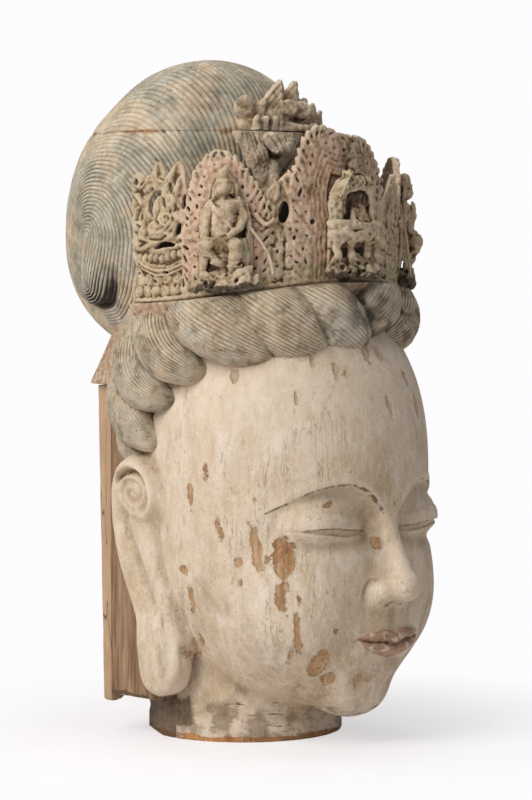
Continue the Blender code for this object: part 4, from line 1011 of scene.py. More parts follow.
def seated(cv, s0, sc=1.0, cross=False, seed=0):
    """small worn figure on a flower seat; heights are those of a 107 mm tall figure"""
    rng = np.random.default_rng(40 + seed)
    jit = lambda a: a * rng.uniform(-1, 1)
    P = lambda a, t, w: (s0 + a * sc, 1 + t * sc, w * sc + 0.6)
    R = lambda *r: tuple(v * sc for v in r)
    # seat: a worn flower over a mass of curled cloud
    wide = 27 if cross else 24
    cv.ball(P(0, 11, 8), R(wide - 3, 9, 9), 2)
    for i in range(9):
        a = -wide + 1 + (2 * wide - 2) * i / 8
        dw = 10.5 * np.sqrt(max(0, 1 - (a / (wide + 2)) ** 2))
        if rng.uniform() > 0.15:
            leaf(cv, P(a + jit(1.2), 3.0 + jit(1.0), 0)[:2], 90 + jit(26), (10 + jit(2)) * sc, (3.2 + jit(0.5)) * sc, P(0, 0, 7.6 + dw)[2], k=0.9)
    for i in range(24 if cross else 17):
        a, t = rng.uniform(-wide + 2, wide - 2), rng.uniform(3.5, 19)
        dw = 10.0 * np.sqrt(max(0, 1 - (a / (wide + 2)) ** 2)) * (1 - 0.25 * ((t - 11) / 9) ** 2)
        spiral(cv, P(a, t, 0)[:2], (3.4 + jit(0.9)) * sc, 1.1, 360 * rng.uniform(), P(0, 0, 8 + dw + jit(0.8))[2], (1.6 + jit(0.3)) * sc, hand=1 if i % 2 else -1, k=0.7)
    for i in range(8):
        a = rng.uniform(-wide + 4, wide - 4)
        cv.ball(P(a, rng.uniform(6, 17), 21), R(1.6 + jit(0.4), 1.6 + jit(0.4), 5.5), 0.8, cut=True)
    if cross:
        cv.ball(P(0, 40, 3), R(22, 44, 5), 2)
        # crossed legs under a robe that falls in waves over the seat
        cv.ball(P(0, 41, 10), R(25, 8.4, 10), 2)
        for i in range(6):
            t0, k0 = 35.5 + 2.3 * i, 9 * rng.uniform()
            cv.tube(curve(lambda u: P(-25 + 50 * u, t0 + (2.6 - 1.2 * u) * np.sin(5.5 * u + k0) + 0.8 * np.sin(15 * u + 2 * k0) - 3.0 * abs(u - 0.5), 13.0 + 8.0 * np.sin(np.pi * u) ** 0.5 - 0.7 * abs(i - 2.5)), 18), tuple((1.5 + 0.8 * np.sin(6 * u + k0 * 2) ** 2) * sc for u in np.linspace(0, 1, 18)), 1.6)
        cv.ball(P(-17, 43, 16), R(8, 6.0, 6), 2)
        for x0, t0 in ((-22, 31), (-15, 33), (-4, 31.5), (9, 32), (19, 33)):
            cv.tube([P(x0, t0 + 6, 17), P(x0 + jit(2), t0, 17 + jit(1)), P(x0 + jit(3), t0 - 3.5, 15)], R(3.2, 2.8, 1.6), 1.6)
        cv.ball(P(0, 27.0, 21), R(23, 3.6, 9), 2, cut=True)
        for x0, r0 in ((-21, 3.4), (-9, 2.6), (7, 3.2), (20, 3.6)):
            cv.tube([P(x0, 34, 16), P(x0 + jit(2), 27, 13.5 + jit(1)), P(x0 + jit(3), 20, 16)], R(r0, r0 * 0.7, r0), 1.6)
        for x0 in (-13, -2, 12):
            cv.ball(P(x0 + jit(2), 30 + jit(1.5), 22), R(3.4 + jit(0.8), 3.0, 6), 1.2, cut=True)
        # chest and arms are lost: a wide arch of shoulders and sleeves over a low niche
        cv.ball(P(0, 66, 5), R(22, 20, 6), 3)
        for k, (r0, w0) in enumerate(((2.6, 10.5), (3.0, 13.0), (2.2, 14.6))):
            x1, t1 = 20.5 - 3.0 * k, 84.5 - 3.0 * k
            cv.tube([P(-x1, 49, w0 + 1), P(-x1 - 0.6, 62, w0), P(-x1 * 0.78, 74 - k, w0), P(-2, t1 - 3, w0 - 0.5), P(x1 * 0.8, 75 - k, w0 - 1), P(x1 + 1.6, 62, w0 - 4), P(x1 + 1.0, 50, w0 - 3)], r0 * sc * np.array([1, 1, 1, 1, 1, 0.75, 0.75]), 2.0)
        for x0, t0, w0, r0 in ((-9, 80, 12, 5.6), (2, 82, 13, 5.0), (11, 79, 12, 5.2), (-3, 86, 10.5, 4.6), (6.5, 86.5, 10, 4.2), (-15, 73, 12.5, 3.8), (16, 71, 12.5, 3.8)):
            cv.ball(P(x0 + jit(0.8), t0 + jit(0.8), w0), R(r0, r0 * 0.75, r0 * 0.7), 1.8)
        for i in range(7):
            a = -14 + 28 * i / 6 + jit(1)
            cv.tube([P(a * 0.5 + jit(2), 87, 13.0), P(a * 0.8 + jit(2), 80 + jit(1.5), 16.5), P(a * 1.15 + 3 + jit(2), 74.5 - 0.05 * a * a, 15.0)], (0.9 + jit(0.3)) * sc, 1.2)
        cv.ball(P(3.5, 60.5, 24), R(16.5, 10.5, 16.0), 1.6, cut=True)
        cv.ball(P(1.0, 56.0, 24), R(15.5, 7.5, 16.0), 1.6, cut=True)
        for a in (-9.0, -5.0, -1.4, 2.4):
            cv.tube([P(a, 68, 9.0), P(a + 1 + jit(1.2), 60, 9.5 + jit(1.0)), P(a * 1.2 + 1 + jit(1.8), 48, 14)], R(1.6, 2.3, 3.0), 1.4)
        neck, hd = 85, 95.0
    else:
        # one leg hangs, the other knee is raised; both under thin folds
        cv.ball(P(0, 41, 8), R(14.5, 8.0, 8.5), 2.5)
        cv.tube([P(-5.0, 43, 11), P(-9.5, 39.5, 18), P(-9.0, 30, 18.0), P(-7.0, 21.5, 16.0)], R(5.4, 5.0, 4.4, 3.6), 1.6)
        cv.tube([P(5.0, 43, 11), P(13.0, 42.5, 19.5), P(11.5, 33, 17.5), P(3.0, 25, 16.0)], R(5.4, 5.6, 4.4, 3.4), 1.6)
        cv.ball(P(13.5, 42.0, 19.5), R(6.2, 6.6, 5.2), 1.5)
        for i in range(6):
            cv.tube(curve(lambda u: P(-15.5 + 12.0 * u, 40.0 - 3.4 * i - 2.6 * np.sin(np.pi * u) + jit(0.2), 18.0 - 0.4 * i + 4.4 * np.sin(np.pi * u)), 8), 0.75 * sc, 0.6)
            cv.tube(curve(lambda u: P(6.5 + 13.0 * u, 46.5 - 2.7 * i + 2.4 * np.sin(np.pi * u), 19.0 - 0.5 * i + 4.4 * np.sin(np.pi * u)), 8), 0.75 * sc, 0.6)
        for a in (-18.0, -15.0, -3.2, -0.6, 2.0, 15.2, 17.8):
            cv.tube([P(a * 0.82, 43, 10), P(a + jit(0.9), 31, 14 - abs(a) * 0.2), P(a * 1.04 + jit(1.2), 18, 13.5 - abs(a) * 0.2)], R(2.0, 2.0, 1.8), 1.0)
        cv.ball(P(13, 29, 19), R(4.6, 3.2, 6), 1.0, cut=True)
        # broad chest in a robe with curved folds, arms held close
        cv.ball(P(0, 62, 5.5), R(15.5, 19, 5), 2)
        cv.tube([P(2.4, 44, 9), P(1.0, 57, 9.5), P(-0.6, 70, 9.5)], R(9.4, 8.6, 9.6), 3)
        cv.ball(P(-0.6, 73, 8.5), R(12.4, 6.4, 6.6), 2)
        cv.tube([P(-12, 75, 8.5), P(-14.6, 63, 10), P(-12.0, 53.5, 14), P(-5.0, 48.5, 18.5)], R(3.7, 3.4, 3.1, 2.7), 1.4)
        cv.tube([P(11, 75, 8.5), P(14.4, 65, 9.5), P(14.6, 55, 13), P(13.0, 48, 20)], R(3.7, 3.3, 2.9, 2.6), 1.4)
        for i in range(8):
            cv.tube(curve(lambda u: P(-9.0 + 18 * u, 76 - 3.9 * i - (4.2 - 0.2 * i) * np.sin(np.pi * u), 13.2 + 5.4 * np.sin(np.pi * u) ** 0.7 - 0.12 * i), 9), 0.72 * sc, 0.5)
        cv.tube(curve(lambda u: P(10.5 - 20 * u, 79 - 30 * u, 14.5 + 4.2 * np.sin(np.pi * u)), 10), 1.5 * sc, 0.8)
        for q in (-1, 1):
            cv.tube([P(q * 11.5, 79, 8.5), P(q * 17.0, 72, 7.5), P(q * 19.0, 56, 7), P(q * 18.2, 40, 7.5), P(q * 19.5, 26, 7)], R(1.9, 1.9, 1.9, 1.9, 1.5), 0.8)
        neck, hd = 81, 89.5
    # head: oval, with a band, tall tied hair and hanging ear ribbons
    cv.tube([P(0, neck - 4, 8), P(0, neck + 2, 8.0)], 3.2 * sc, 1.0)
    cv.ball(P(0, hd - 9.0, 15.5), R(6.0, 1.5, 4.0), 0.8, cut=True)
    cv.ball(P(0, hd, 10.6), R(5.8, 7.0, 6.6), 0.8)
    cv.ball(P(0, hd + 6.4, 8.4), R(6.5, 4.0, 6.0), 1.4)
    cv.tube(curve(lambda u: P(-6.5 * np.cos(np.pi * u), hd + 4.4 + 1.4 * np.sin(np.pi * u), 8.8 + 6.7 * np.sin(np.pi * u)), 9), 1.0 * sc, 0.9)
    for j in range(7):
        cv.tube([P(-5.4 + 1.8 * j, hd + 7.0, 13.0 - 0.35 * (j - 3) ** 2), P(-3.6 + 1.2 * j, hd + 12.0 + jit(0.8), 12.2 - 0.3 * (j - 3) ** 2)], 1.1 * sc, 0.7)
    cv.ball(P(0, hd + 13.0, 8.6), R(4.2, 4.6, 4.4), 1.2)
    for q in (-1, 1):
        cv.ball(P(q * 5.8, hd - 1.6, 9.0), R(1.6, 5.2, 2.6), 0.8)
        cv.ball(P(q * 2.6, hd + 0.9, 16.4), R(1.9, 0.9, 0.9), 0.8, cut=True)
        cv.tube([P(q * 6.2, hd + 5, 8), P(q * 8.8, hd, 7.2), P(q * 9.6, hd - 10, 6)], R(1.7, 1.7, 1.3), 0.8)
    cv.tube([P(0, hd + 1.4, 15.9), P(0, hd - 1.6, 16.6)], R(0.7, 1.1), 0.7)
    cv.ball(P(0, hd - 4.4, 15.0), R(1.9, 0.8, 1.2), 0.7)


class Relief:
    """height field of the crown's pierced plate: ground, strands, engraved lines and holes"""

    def __init__(self, cv, ground):
        self.h, self.lo = cv.h, cv.lo
        self.s, self.t = cv.ax[0][:, None], cv.ax[1][None, :]
        n = (len(cv.ax[0]), len(cv.ax[1]))
        self.H = np.full(n, float(ground))
        self.solid = np.full(n, 9.0)
        self.gap = np.full(n, 9.0)
        P = np.stack([np.repeat(cv.ax[0], n[1]), np.tile(cv.ax[1], n[0]), np.zeros(n[0] * n[1])], 1)
        self.worn = [fbm(P, 9, 2, 201).reshape(n), fbm(P, 9, 2, 202).reshape(n), fbm(P, 3.2, 2, 203).reshape(n)]

    def win(self, lo, hi, pad):
        out = []
        for i in range(2):
            a = max(0, int((lo[i] - pad - self.lo[i]) / self.h))
            out.append(slice(a, max(a + 1, int((hi[i] + pad - self.lo[i]) / self.h) + 2)))
        return tuple(out)

    def near(self, pts, pad):
        """distance from a line through pts, and how far along it, inside a window"""
        pts = np.asarray(pts, float)
        w = self.win(pts.min(0), pts.max(0), pad)
        s = self.s[w[0]] + 0.9 * self.worn[0][w]
        t = self.t[:, w[1]] + 0.9 * self.worn[1][w]
        best, at = np.full(np.broadcast(s, t).shape, 1e9), 0.0
        for i, (a, b) in enumerate(zip(pts[:-1], pts[1:])):
            e = b - a
            u = np.clip(((s - a[0]) * e[0] + (t - a[1]) * e[1]) / (e @ e + 1e-9), 0, 1)
            q = (s - a[0] - u * e[0]) ** 2 + (t - a[1] - u * e[1]) ** 2
            m = q < best
            best, at = np.where(m, q, best), np.where(m, (i + u) / (len(pts) - 1), at)
        return w, np.sqrt(best), at

    def ridge(self, pts, r, top, fill=True, line=0.0):
        rr = np.atleast_1d(np.asarray(r, float))
        w, d, u = self.near(pts, rr.max() + 2)
        R = np.interp(u, np.linspace(0, 1, len(rr)), rr) if len(rr) > 1 else rr[0] + 0 * u
        q = np.clip(1 - (d / R) ** 2, 0, 1)
        h = top - np.minimum(1.25 * R, 3.0) * (1 - np.sqrt(q))
        if line:
            h = h - line * np.exp(-(d / 0.7) ** 2) * sstep(0.05, 0.2, u) * sstep(0.95, 0.8, u)
        self.H[w] = np.where(d < R, np.maximum(self.H[w], h), self.H[w])
        if fill:
            self.solid[w] = np.minimum(self.solid[w], d - R + 0.2)

    def groove(self, pts, r, depth):
        w, d, u = self.near(pts, 3 * r)
        self.H[w] -= depth * np.exp(-(d / r) ** 2) * np.minimum(1, 8 * np.minimum(u, 1 - u) + 0.2)

    def slit(self, pts, r):
        w, d, u = self.near(pts, 3 * r + 1)
        self.gap[w] = np.minimum(self.gap[w], d - r * (0.45 + 0.55 * np.sin(np.pi * np.clip(u, 0, 1))))

    def oval(self, c, r, tilt, what, v):
        m = max(r) + 2
        w = self.win((c[0] - m, c[1] - m), (c[0] + m, c[1] + m), 0)
        ca, sa = np.cos(np.radians(tilt)), np.sin(np.radians(tilt))
        s, t = self.s[w[0]] - c[0] + 0.7 * self.worn[0][w], self.t[:, w[1]] - c[1] + 0.7 * self.worn[1][w]
        q = np.hypot((s * ca + t * sa) / r[0], (-s * sa + t * ca) / r[1])
        if what == "boss":
            k = np.clip(1 - q * q, 0, 1)
            self.H[w] = np.where(q < 1, np.maximum(self.H[w], v - min(1.2 * min(r), 2.6) * (1 - np.sqrt(k))), self.H[w])
            self.solid[w] = np.minimum(self.solid[w], (q - 1) * min(r))
        elif what == "pit":
            self.H[w] -= v * np.exp(-q ** 4)
        else:
            self.gap[w] = np.minimum(self.gap[w], (q - 1) * min(r))

    def fill(self, pts, top, soft=2.5):
        """mass inside a closed outline, its edge rounded over"""
        K = np.asarray(spline([pts[-1]] + list(pts) + [pts[0]], 8 * len(pts)), float)
        d, _ = self.inside(K)
        self.solid = np.minimum(self.solid, d)
        e = np.clip(1 + d / soft, 0, 1)
        h = top - soft * 0.8 * (1 - np.sqrt(np.clip(1 - e * e, 0, 1)))
        self.H = np.where(d < 0, np.maximum(self.H, h), self.H)

    def inside(self, K):
        """signed distance to an open line whose ends are joined, and place along it"""
        s, t = self.s + 0.8 * self.worn[0], self.t + 0.8 * self.worn[1]
        best, at = np.full(s.shape, 1e9), np.zeros(s.shape)
        ins = np.zeros(s.shape, bool)
        L = 0.0
        for a, b in zip(K[:-1], K[1:]):
            e = b - a
            n = np.hypot(*e) + 1e-9
            u = np.clip(((s - a[0]) * e[0] + (t - a[1]) * e[1]) / n ** 2, 0, 1)
            q = (s - a[0] - u * e[0]) ** 2 + (t - a[1] - u * e[1]) ** 2
            m = q < best
            best, at = np.where(m, q, best), np.where(m, L + u * n, at)
            L += n
        for a, b in zip(K, np.roll(K, -1, 0)):
            c = (a[1] > t) != (b[1] > t)
            ins ^= c & (s < (b[0] - a[0]) * (t - a[1]) / (b[1] - a[1] + 1e-12) + a[0])
        return np.where(ins, -1, 1) * np.sqrt(best), np.minimum(at, L - at)

    def into(self, cv, back=-4.6):
        H = self.H + 0.45 * self.worn[2] + 0.5 * self.worn[0]
        W = cv.ax[2][None, None, :]
        f = smax((W - H[:, :, None]) * 0.8, back - W, 0.8)
        f = smax(f, self.solid[:, :, None], 1.0)
        f = smax(f, -self.gap[:, :, None], 0.8)
        cv.F[:] = smin(cv.F, f, 0.6)


def glory(rl, pts, w, pitch, rows, rim, seed, through=0.5):
    """pierced glory: slanting flame tongues in rows inside its edge, then nested wavy rims"""
    rng = np.random.default_rng(seed)
    tab = rng.uniform(-1, 1, (4, 256))
    K = np.asarray(spline(pts, 100), float)
    d, ap = rl.inside(K)
    ap = ap + 2.6 * rl.worn[1] + 1.5 * np.sin(ap / 17.0 + seed)
    H = np.where(d < 0, w + 0.9, -20.0)
    cut = np.full(d.shape, 9.0)
    at = 0.0
    for r, (width, lean) in enumerate(rows):
        pitch = pitch * (1.0 if r == 0 else 1.22)
        mid = at + width / 2
        ph = (ap - lean * (d + mid)) / pitch + 0.37 * r
        i = np.floor(ph).astype(int)
        fr = ph - i - 0.5
        k = i % 256
        zone = sstep(-at + 0.8, -at - 0.8, d) * sstep(-at - width - 0.8, -at - width + 0.8, d)
        tongue = np.cos(np.pi * fr) ** 2
        h = w + 1.5 + (0.85 + 0.45 * tab[0, k]) * tongue * (1.0 if r == 0 else 0.6) + 0.35 * r + 0.5 * rl.worn[2]
        H = np.where(zone > 0.5, h, H)
        if r == 0:
            rl.solid = np.minimum(rl.solid, np.where(d < 12, d + (3.0 + 1.1 * tab[2, k]) * (2 * np.abs(fr)) ** 1.8 - 1.0 - 0.7 * tab[1, k], 9.0))
        x = (0.5 - np.abs(fr)) * pitch
        big = 1.35 + 0.6 * tab[1, k]
        q = np.hypot(x / big, (d + mid + 1.3 * tab[2, k]) / (width * (0.23 + 0.08 * tab[0, k])))
        cut = np.where(tab[3, k] > (0.1 - through if r else -0.45), np.minimum(cut, (q - 1) * big), cut)
        at += width
    # nested wavy rims
    wav = 0.7 * rl.worn[0] + 0.35 * np.sin(ap / 3.1)
    band = sstep(-at + 0.4, -at - 0.8, d)
    H = np.where(band > 0.5, w + 1.2 + 1.1 * np.abs(np.cos(np.pi * (d + at + wav) / (rim / max(3, round(rim / 4.2))))) ** 0.7, H)
    field = sstep(-at - rim + 0.5, -at - rim - 1.2, d)
    H = np.where(field > 0.5, w - 1.2, H)
    rl.H = np.maximum(rl.H, H)
    rl.gap = np.minimum(rl.gap, np.where((d < 2) & (rl.t > 14), cut, 9.0))
    return d


def side_panel(rl, q, seed):
    """pierced scrollwork at the crown's end"""
    rng = np.random.default_rng(seed)
    jit = lambda a: a * rng.uniform(-1, 1)
    L = lambda *pts: [(q * d * DEG, t) for d, t in pts]
    A = lambda d: q * d * DEG
    rl.fill(L((97, 1), (96.6, 20), (95.4, 40), (96.4, 62), (97.2, 84), (96.8, 100), (95.2, 111), (92.2, 113), (89.6, 108), (88.0, 101), (85.4, 110), (82.2, 120), (80.2, 116), (78.4, 105), (76.2, 110), (73.6, 119),
              (71.4, 114), (70.4, 102), (69.6, 60), (69.6, 1)), -0.4)
    # round knob, broad C scroll with a double edge round a crescent opening
    rl.ridge(L((94.4, 98), (94.8, 106), (92.6, 109.5), (90.6, 105), (91.4, 99), (93.0, 101)), (3.2, 2.8, 2.4, 2.2, 1.8, 1.4), 2.6)
    arc = [(84.0 - 6.5 * np.cos(np.radians(a)), 82 + 19 * np.sin(np.radians(a))) for a in range(48, 300, 12)]
    arc = [(168.0 - d, t) for d, t in arc]
    for k, (r, top) in ((1.0, (2.6, 2.6)), (1.34, (1.7, 3.0)), (1.62, (1.2, 1.6))):
        rl.ridge(L(*[(84 + (d - 84) * k, 82 + (t - 82) * (0.4 + 0.6 * k)) for d, t in arc]), r, top, line=0.5)
    rl.slit(L((80.6, 94), (84.0, 92.5), (86.4, 86), (86.8, 79), (86.0, 74)), 3.0)
    rl.oval((A(74.0), 60), (3.0, 7.2), q * 14, "hole", 0)
    rl.oval((A(76.4), 96), (1.8, 5.4), -q * 10, "hole", 0)
    rl.slit(L((85.0, 46.5), (80.5, 49), (75.5, 46.5)), 2.4)
    rl.oval((A(91.2), 74), (1.6, 3.0), q * 20, "hole", 0)
    rl.oval((A(71.2), 84), (1.6, 6.0), q * 6, "hole", 0)
    # leaf blades over it, engraved along their length
    for pts, r in ((((82.6, 97), (83.6, 108), (82.2, 119)), (3.6, 4.0, 1.0)), (((79.4, 92), (77.2, 104), (74.0, 117)), (3.2, 4.2, 1.0)), (((86.4, 98), (87.6, 104), (86.4, 109)), (2.6, 2.4, 1.0)),
                   (((76.2, 80), (74.4, 92), (72.6, 103)), (3.0, 3.4, 1.0)), (((90.4, 86), (92.4, 92), (94.8, 95)), (2.4, 2.8, 1.2)), (((82.0, 70), (79.6, 78), (80.8, 86)), (2.4, 3.4, 1.4)),
                   (((93.8, 64), (94.8, 72), (93.2, 82)), (2.2, 3.0, 1.2)), (((88.6, 62), (90.0, 68), (93.0, 70)), (2.6, 2.8, 1.2)), (((72.0, 66), (71.4, 74), (72.6, 80)), (1.8, 2.6, 1.2))):
        rl.ridge(L(*pts), r, 3.0 + jit(0.4), line=1.1)
    for d, t, r0, st, hand in ((78.6, 70.5, 6.6, 40, -1), (76.6, 84.5, 5.0, 90, 1), (84.6, 63.5, 5.0, 300, 1), (90.2, 60, 4.4, 90, -1), (93.6, 50, 3.6, 20, 1), (73.6, 72.5, 3.8, 200, 1)):
        c = []
        for i in range(17):
            u = i / 16
            aa = np.radians(st) + hand * u * 3.4 * np.pi
            c.append((A(d) + q * r0 * (1 - 0.86 * u) * np.cos(aa), t + r0 * (1 - 0.86 * u) * np.sin(aa)))
        rl.ridge(c, (2.0, 1.5, 1.1), 3.4)
    # banks of cloud, then a swag with bosses under them
    for dt, top in ((0, 3.0), (-4.4, 2.4), (4.4, 2.2)):
        rl.ridge([(A(95.6 - 27 * u), 53.5 + dt + 2.6 * np.sin(2 * np.pi * (1.6 * u + 0.1 * dt)) - 1.5 * u) for u in np.linspace(0, 1, 22)], 2.1, top, line=0.6)
    for dt, r, top in ((0.0, 1.7, 3.4), (-3.6, 1.1, 2.6), (3.2, 1.0, 2.2)):
        rl.ridge([(A(95.2 - 34.5 * u), 42 + dt - 16 * np.sin(np.pi * np.clip(u / 0.86, 0, 1)) ** 0.75 - 12 * max(0, u - 0.8)) for u in np.linspace(0, 1, 26)], r, top)
    for j in range(8):
        rl.oval((A(92.4 - 2.75 * j), 36.5 + jit(0.8) + 0.8 * abs(j - 3.5)), (2.7, 3.2), jit(20), "boss", 2.8 + jit(0.4))
        rl.oval((A(92.4 - 2.75 * j), 36.5 + 0.8 * abs(j - 3.5)), (0.9, 1.0), 0, "pit", 1.0)
    # square cells with curls along the foot
    for row, (t0, n) in enumerate(((9, 6), (19.5, 6))):
        for j in range(n):
            d = 93.6 - 4.5 * j - 1.2 * row
            c = (A(d) + jit(0.6), t0 + jit(0.7) - 0.04 * (93 - d) * row)
            rl.oval(c, (4.5, 5.0), jit(30), "boss", 2.2 + jit(0.3))
            cc = []
            for i in range(12):
                u = i / 11
                aa = np.radians(47 * j + 60 * row) + (-1) ** j * u * 2.8 * np.pi
                cc.append((c[0] + 3.4 * (1 - 0.8 * u) * np.cos(aa), c[1] + 3.8 * (1 - 0.8 * u) * np.sin(aa)))
            rl.groove(cc, 0.75, 1.5)
    for d, t, rs, rt, tl in ((84.7, 17.8, 2.4, 1.5, 10), (71.7, 13.8, 1.4, 4.4, 0), (90.2, 14.5, 1.6, 1.2, 0), (79.4, 24.4, 2.2, 1.2, 0), (75.6, 12.2, 1.3, 1.8, 0), (93.6, 25.0, 1.5, 1.3, 0)):
        rl.oval((A(d), t), (rs, rt), q * tl, "hole", 0)


def between(rl, q, seed):
    """low tablets and bosses between two glories, flames and a dark gap over them"""
    rng = np.random.default_rng(seed)
    jit = lambda a: a * rng.uniform(-1, 1)
    A = lambda d: q * d * DEG
    L = lambda *pts: [(q * d * DEG, t) for d, t in pts]
    rl.fill(L((40, 1), (41, 60), (39, 84), (35, 92), (31, 97), (28, 92), (20, 60), (19, 1)), -0.5)
    kinds = "rtsr rsts trts srtr tsrs rtrt"
    for c, col in enumerate(kinds.split()):
        for i, kd in enumerate(col):
            x, t = A(38.0 - 3.5 * c) + jit(1.0), 8.5 + 11.0 * i + jit(1.4) + 2.5 * (c % 2)
            if kd == "r":
                rl.oval((x, t), (4.3 + jit(0.5), 5.0 + jit(0.5)), jit(30), "boss", 2.6 + jit(0.4))
                rl.oval((x + jit(0.6), t + jit(0.6)), (1.5, 1.6), 0, "pit", 0.9)
            elif kd == "s":
                rl.ridge([(x - 1.4, t - 3.4), (x + 1.4 + jit(0.6), t + 3.4)], (3.2, 3.6), 2.0 + jit(0.5))
                rl.groove([(x - 1.2 + jit(0.5), t - 4), (x + jit(0.8), t + 4)], 0.6, 0.9)
            else:
                for j in (-1, 0, 1):
                    rl.ridge([(x + j * 2.5, t - 4.8 + jit(0.6)), (x + j * 2.3 + jit(0.6), t + 4.8)], 1.35, 2.1 + jit(0.3))
                rl.ridge([(x - 3.6, t + jit(1.4)), (x + 3.6, t + jit(1.4))], 1.2, 2.7)
    for pts, r in ((((37.5, 50), (37.8, 60), (40.0, 70)), (2.8, 3.0, 1.0)), (((35.8, 76), (35.2, 84), (37.0, 94)), (2.2, 2.6, 0.8)), (((28.5, 46), (27.2, 56), (29.6, 66)), (2.6, 3.2, 1.0)),
                   (((25.6, 50), (24.6, 60), (26.4, 70)), (2.4, 2.8, 0.9)), (((33.0, 46), (31.4, 51), (28.8, 52)), (2.4, 2.4, 1.2)), (((30.6, 76), (31.6, 84), (33.6, 92)), (2.4, 2.6, 0.8)),
                   (((39.0, 74), (37.0, 68), (37.4, 60)), (1.2, 2.0, 1.4)), (((28.8, 70), (29.4, 78), (27.6, 88)), (2.0, 2.6, 0.8)), (((34.2, 48), (36.4, 53), (36.0, 58)), (1.6, 2.2, 1.2)), (((31.6, 80), (30.0, 90), (31.0, 99)), (1.8, 2.2, 0.8))):
        rl.ridge(L(*pts), r, 2.4 + jit(0.5), line=0.8)
    for d, t, rs, rt, tl in ((32.9, 63.5, 5.2, 9.5, 6), (21.6, 53.0, 2.6, 2.6, 0), (26.9, 79, 1.5, 4.4, 18), (37.8, 79, 1.4, 4.4, -10), (34.2, 84, 1.3, 3.6, 0), (29.0, 40.5, 1.4, 2.2, 0), (35.6, 30.6, 1.3, 2.0, 0), (25.2, 30.0, 1.3, 1.9, 0)):
        rl.oval((A(d), t), (rs, rt), q * tl, "hole", 0)


GLORY_A = ((72.4, 2), (72.2, 42), (71.5, 62), (70.3, 80), (68.7, 98), (65.9, 112), (61.7, 120.5), (57.2, 123.5), (52.4, 118.5), (48.6, 109.5), (45.2, 99), (42.4, 88), (40.0, 76), (38.2, 62), (38.0, 40), (38.2, 2))
GLORY_B = ((29.6, 2), (29.6, 38), (30.6, 60), (31.0, 82), (29.0, 103), (26.6, 119), (24.2, 129), (19.5, 135), (14.4, 133), (9.6, 128.5), (3.4, 126), (-2.4, 125), (-7.6, 117), (-12.0, 105), (-15.4, 91), (-17.4, 74), (-18.0, 50), (-17.6, 30), (-17.6, 2))


def crown(h, figures=True, plate=True):
    cv = Canvas((-222, 222), (-4, 141), (-9, 34), h)
    A = lambda d: d * DEG
    if plate:
        rl = Relief(cv, -1.4)
        rl.fill([(-216, 0), (-216, 24), (-150, 40), (-60, 58), (0, 60), (60, 58), (150, 40), (216, 24), (216, 0), (0, -0.5)], -1.0)
        for q in (-1, 1):
            side_panel(rl, q, 5 + q)
            between(rl, q, 15 + q)
            glory(rl, [(q * d * DEG, t) for d, t in GLORY_A], 0.4, 8.2, ((9.0, 0.95), (6.6, 0.5)), 6.0, 25 + q, 0.25)
        glory(rl, [(d * DEG, t) for d, t in GLORY_B], 0.7, 8.8, ((9.6, 1.0), (7.6, 0.7)), 18.0, 31, 0.45)
        # ladder and loops on the middle glory's far side
        for t in range(62, 96, 7):
            rl.oval((A(-9.6), t), (1.7, 2.3), 0, "hole", 0)
            rl.oval((A(-13.2), t + 3.5), (1.5, 2.4), 0, "hole", 0)
        for pts in (((3.4, 104), (2.0, 114), (0.0, 123), (-3.6, 122), (-3.8, 112), (-2.4, 102)), ((-5.2, 98), (-6.6, 108), (-9.0, 112), (-10.6, 104), (-9.4, 95))):
            rl.ridge([(d * DEG, t) for d, t in pts], 1.9, 3.0, line=0.6)
        rl.slit([(A(-0.8), 117), (A(-0.8), 104)], 2.2)
        rl.slit([(A(-16.6), 106), (A(-16.4), 90)], 4.2)
        rl.into(cv)
        for i in range(150):
            x = -214 + 428 * i / 149
            cv.ball((x, 1.8 + 0.5 * np.sin(i * 2.3), 0.6 + 0.5 * np.sin(i * 1.7 + 1)), (2.4, 1.8 + 0.4 * np.sin(i * 3.1), 2.1), 1.5)
        # posts that frame the figures, and the ribbons that arc from them
        for d, sc in ((54.6, 21), (-54.6, 21), (B_AT - 1, 19)):
            for q in (-1, 1):
                if d != B_AT - 1 or q == 1:
                    cv.tube([(A(d) + q * sc, 12, 3), (A(d) + q * (sc - 0.5), 36, 5.0), (A(d) + q * (sc - 2), 60, 5.0), (A(d) + q * (sc - 5), 76, 4.0)], (1.5, 1.9, 2.0, 1.4), 0.8)
        for q in (-1, 1):
            cv.tube(curve(lambda u: (q * (A(46.5) - 11 * np.sin(np.pi * u * 0.62) - 9 * u), 56 - 44 * u, 8 + 7 * u), 12), 1.35, 0.5)
            cv.tube(curve(lambda u: (q * (A(43.5) - 14 * u), 64 - 9 * np.sin(np.pi * u * 0.8), 3.5 + 2 * u), 10), 1.9, 0.6)
    if figures:
        seated(cv, A(54.6), 1.0, False, 1)
        seated(cv, A(-54.6), 1.0, False, 2)
        seated(cv, A(B_AT - 2.2), 1.06, True, 3)
    F = cv.F
    for _ in range(1 if plate else 2):
        for axis in range(3):
            G = F.copy()
            lo = [slice(None)] * 3
            mi, hi = list(lo), list(lo)
            lo[axis], mi[axis], hi[axis] = slice(0, -2), slice(1, -1), slice(2, None)
            G[tuple(mi)] = 0.25 * F[tuple(lo)] + 0.5 * F[tuple(mi)] + 0.25 * F[tuple(hi)]
            F = G
    # the forms lose their edges, never their mass
    cv.F = F = F - (0.05 if plate else 0.1)
    F[0], F[-1], F[:, 0], F[:, -1], F[:, :, 0], F[:, :, -1] = 3, 3, 3, 3, 3, 3
    return cv


def bend(P):
    """unrolled crown to the ring"""
    s, t, w = P[:, 0], P[:, 1], P[:, 2]
    th = s / R0
    r = R0 + w + 0.035 * t - FLAT * gauss(th / np.radians(31), 1)
    return np.stack([-r * np.sin(th), AX_Y - r * np.cos(th), base_line(np.degrees(th)) + t], 1)


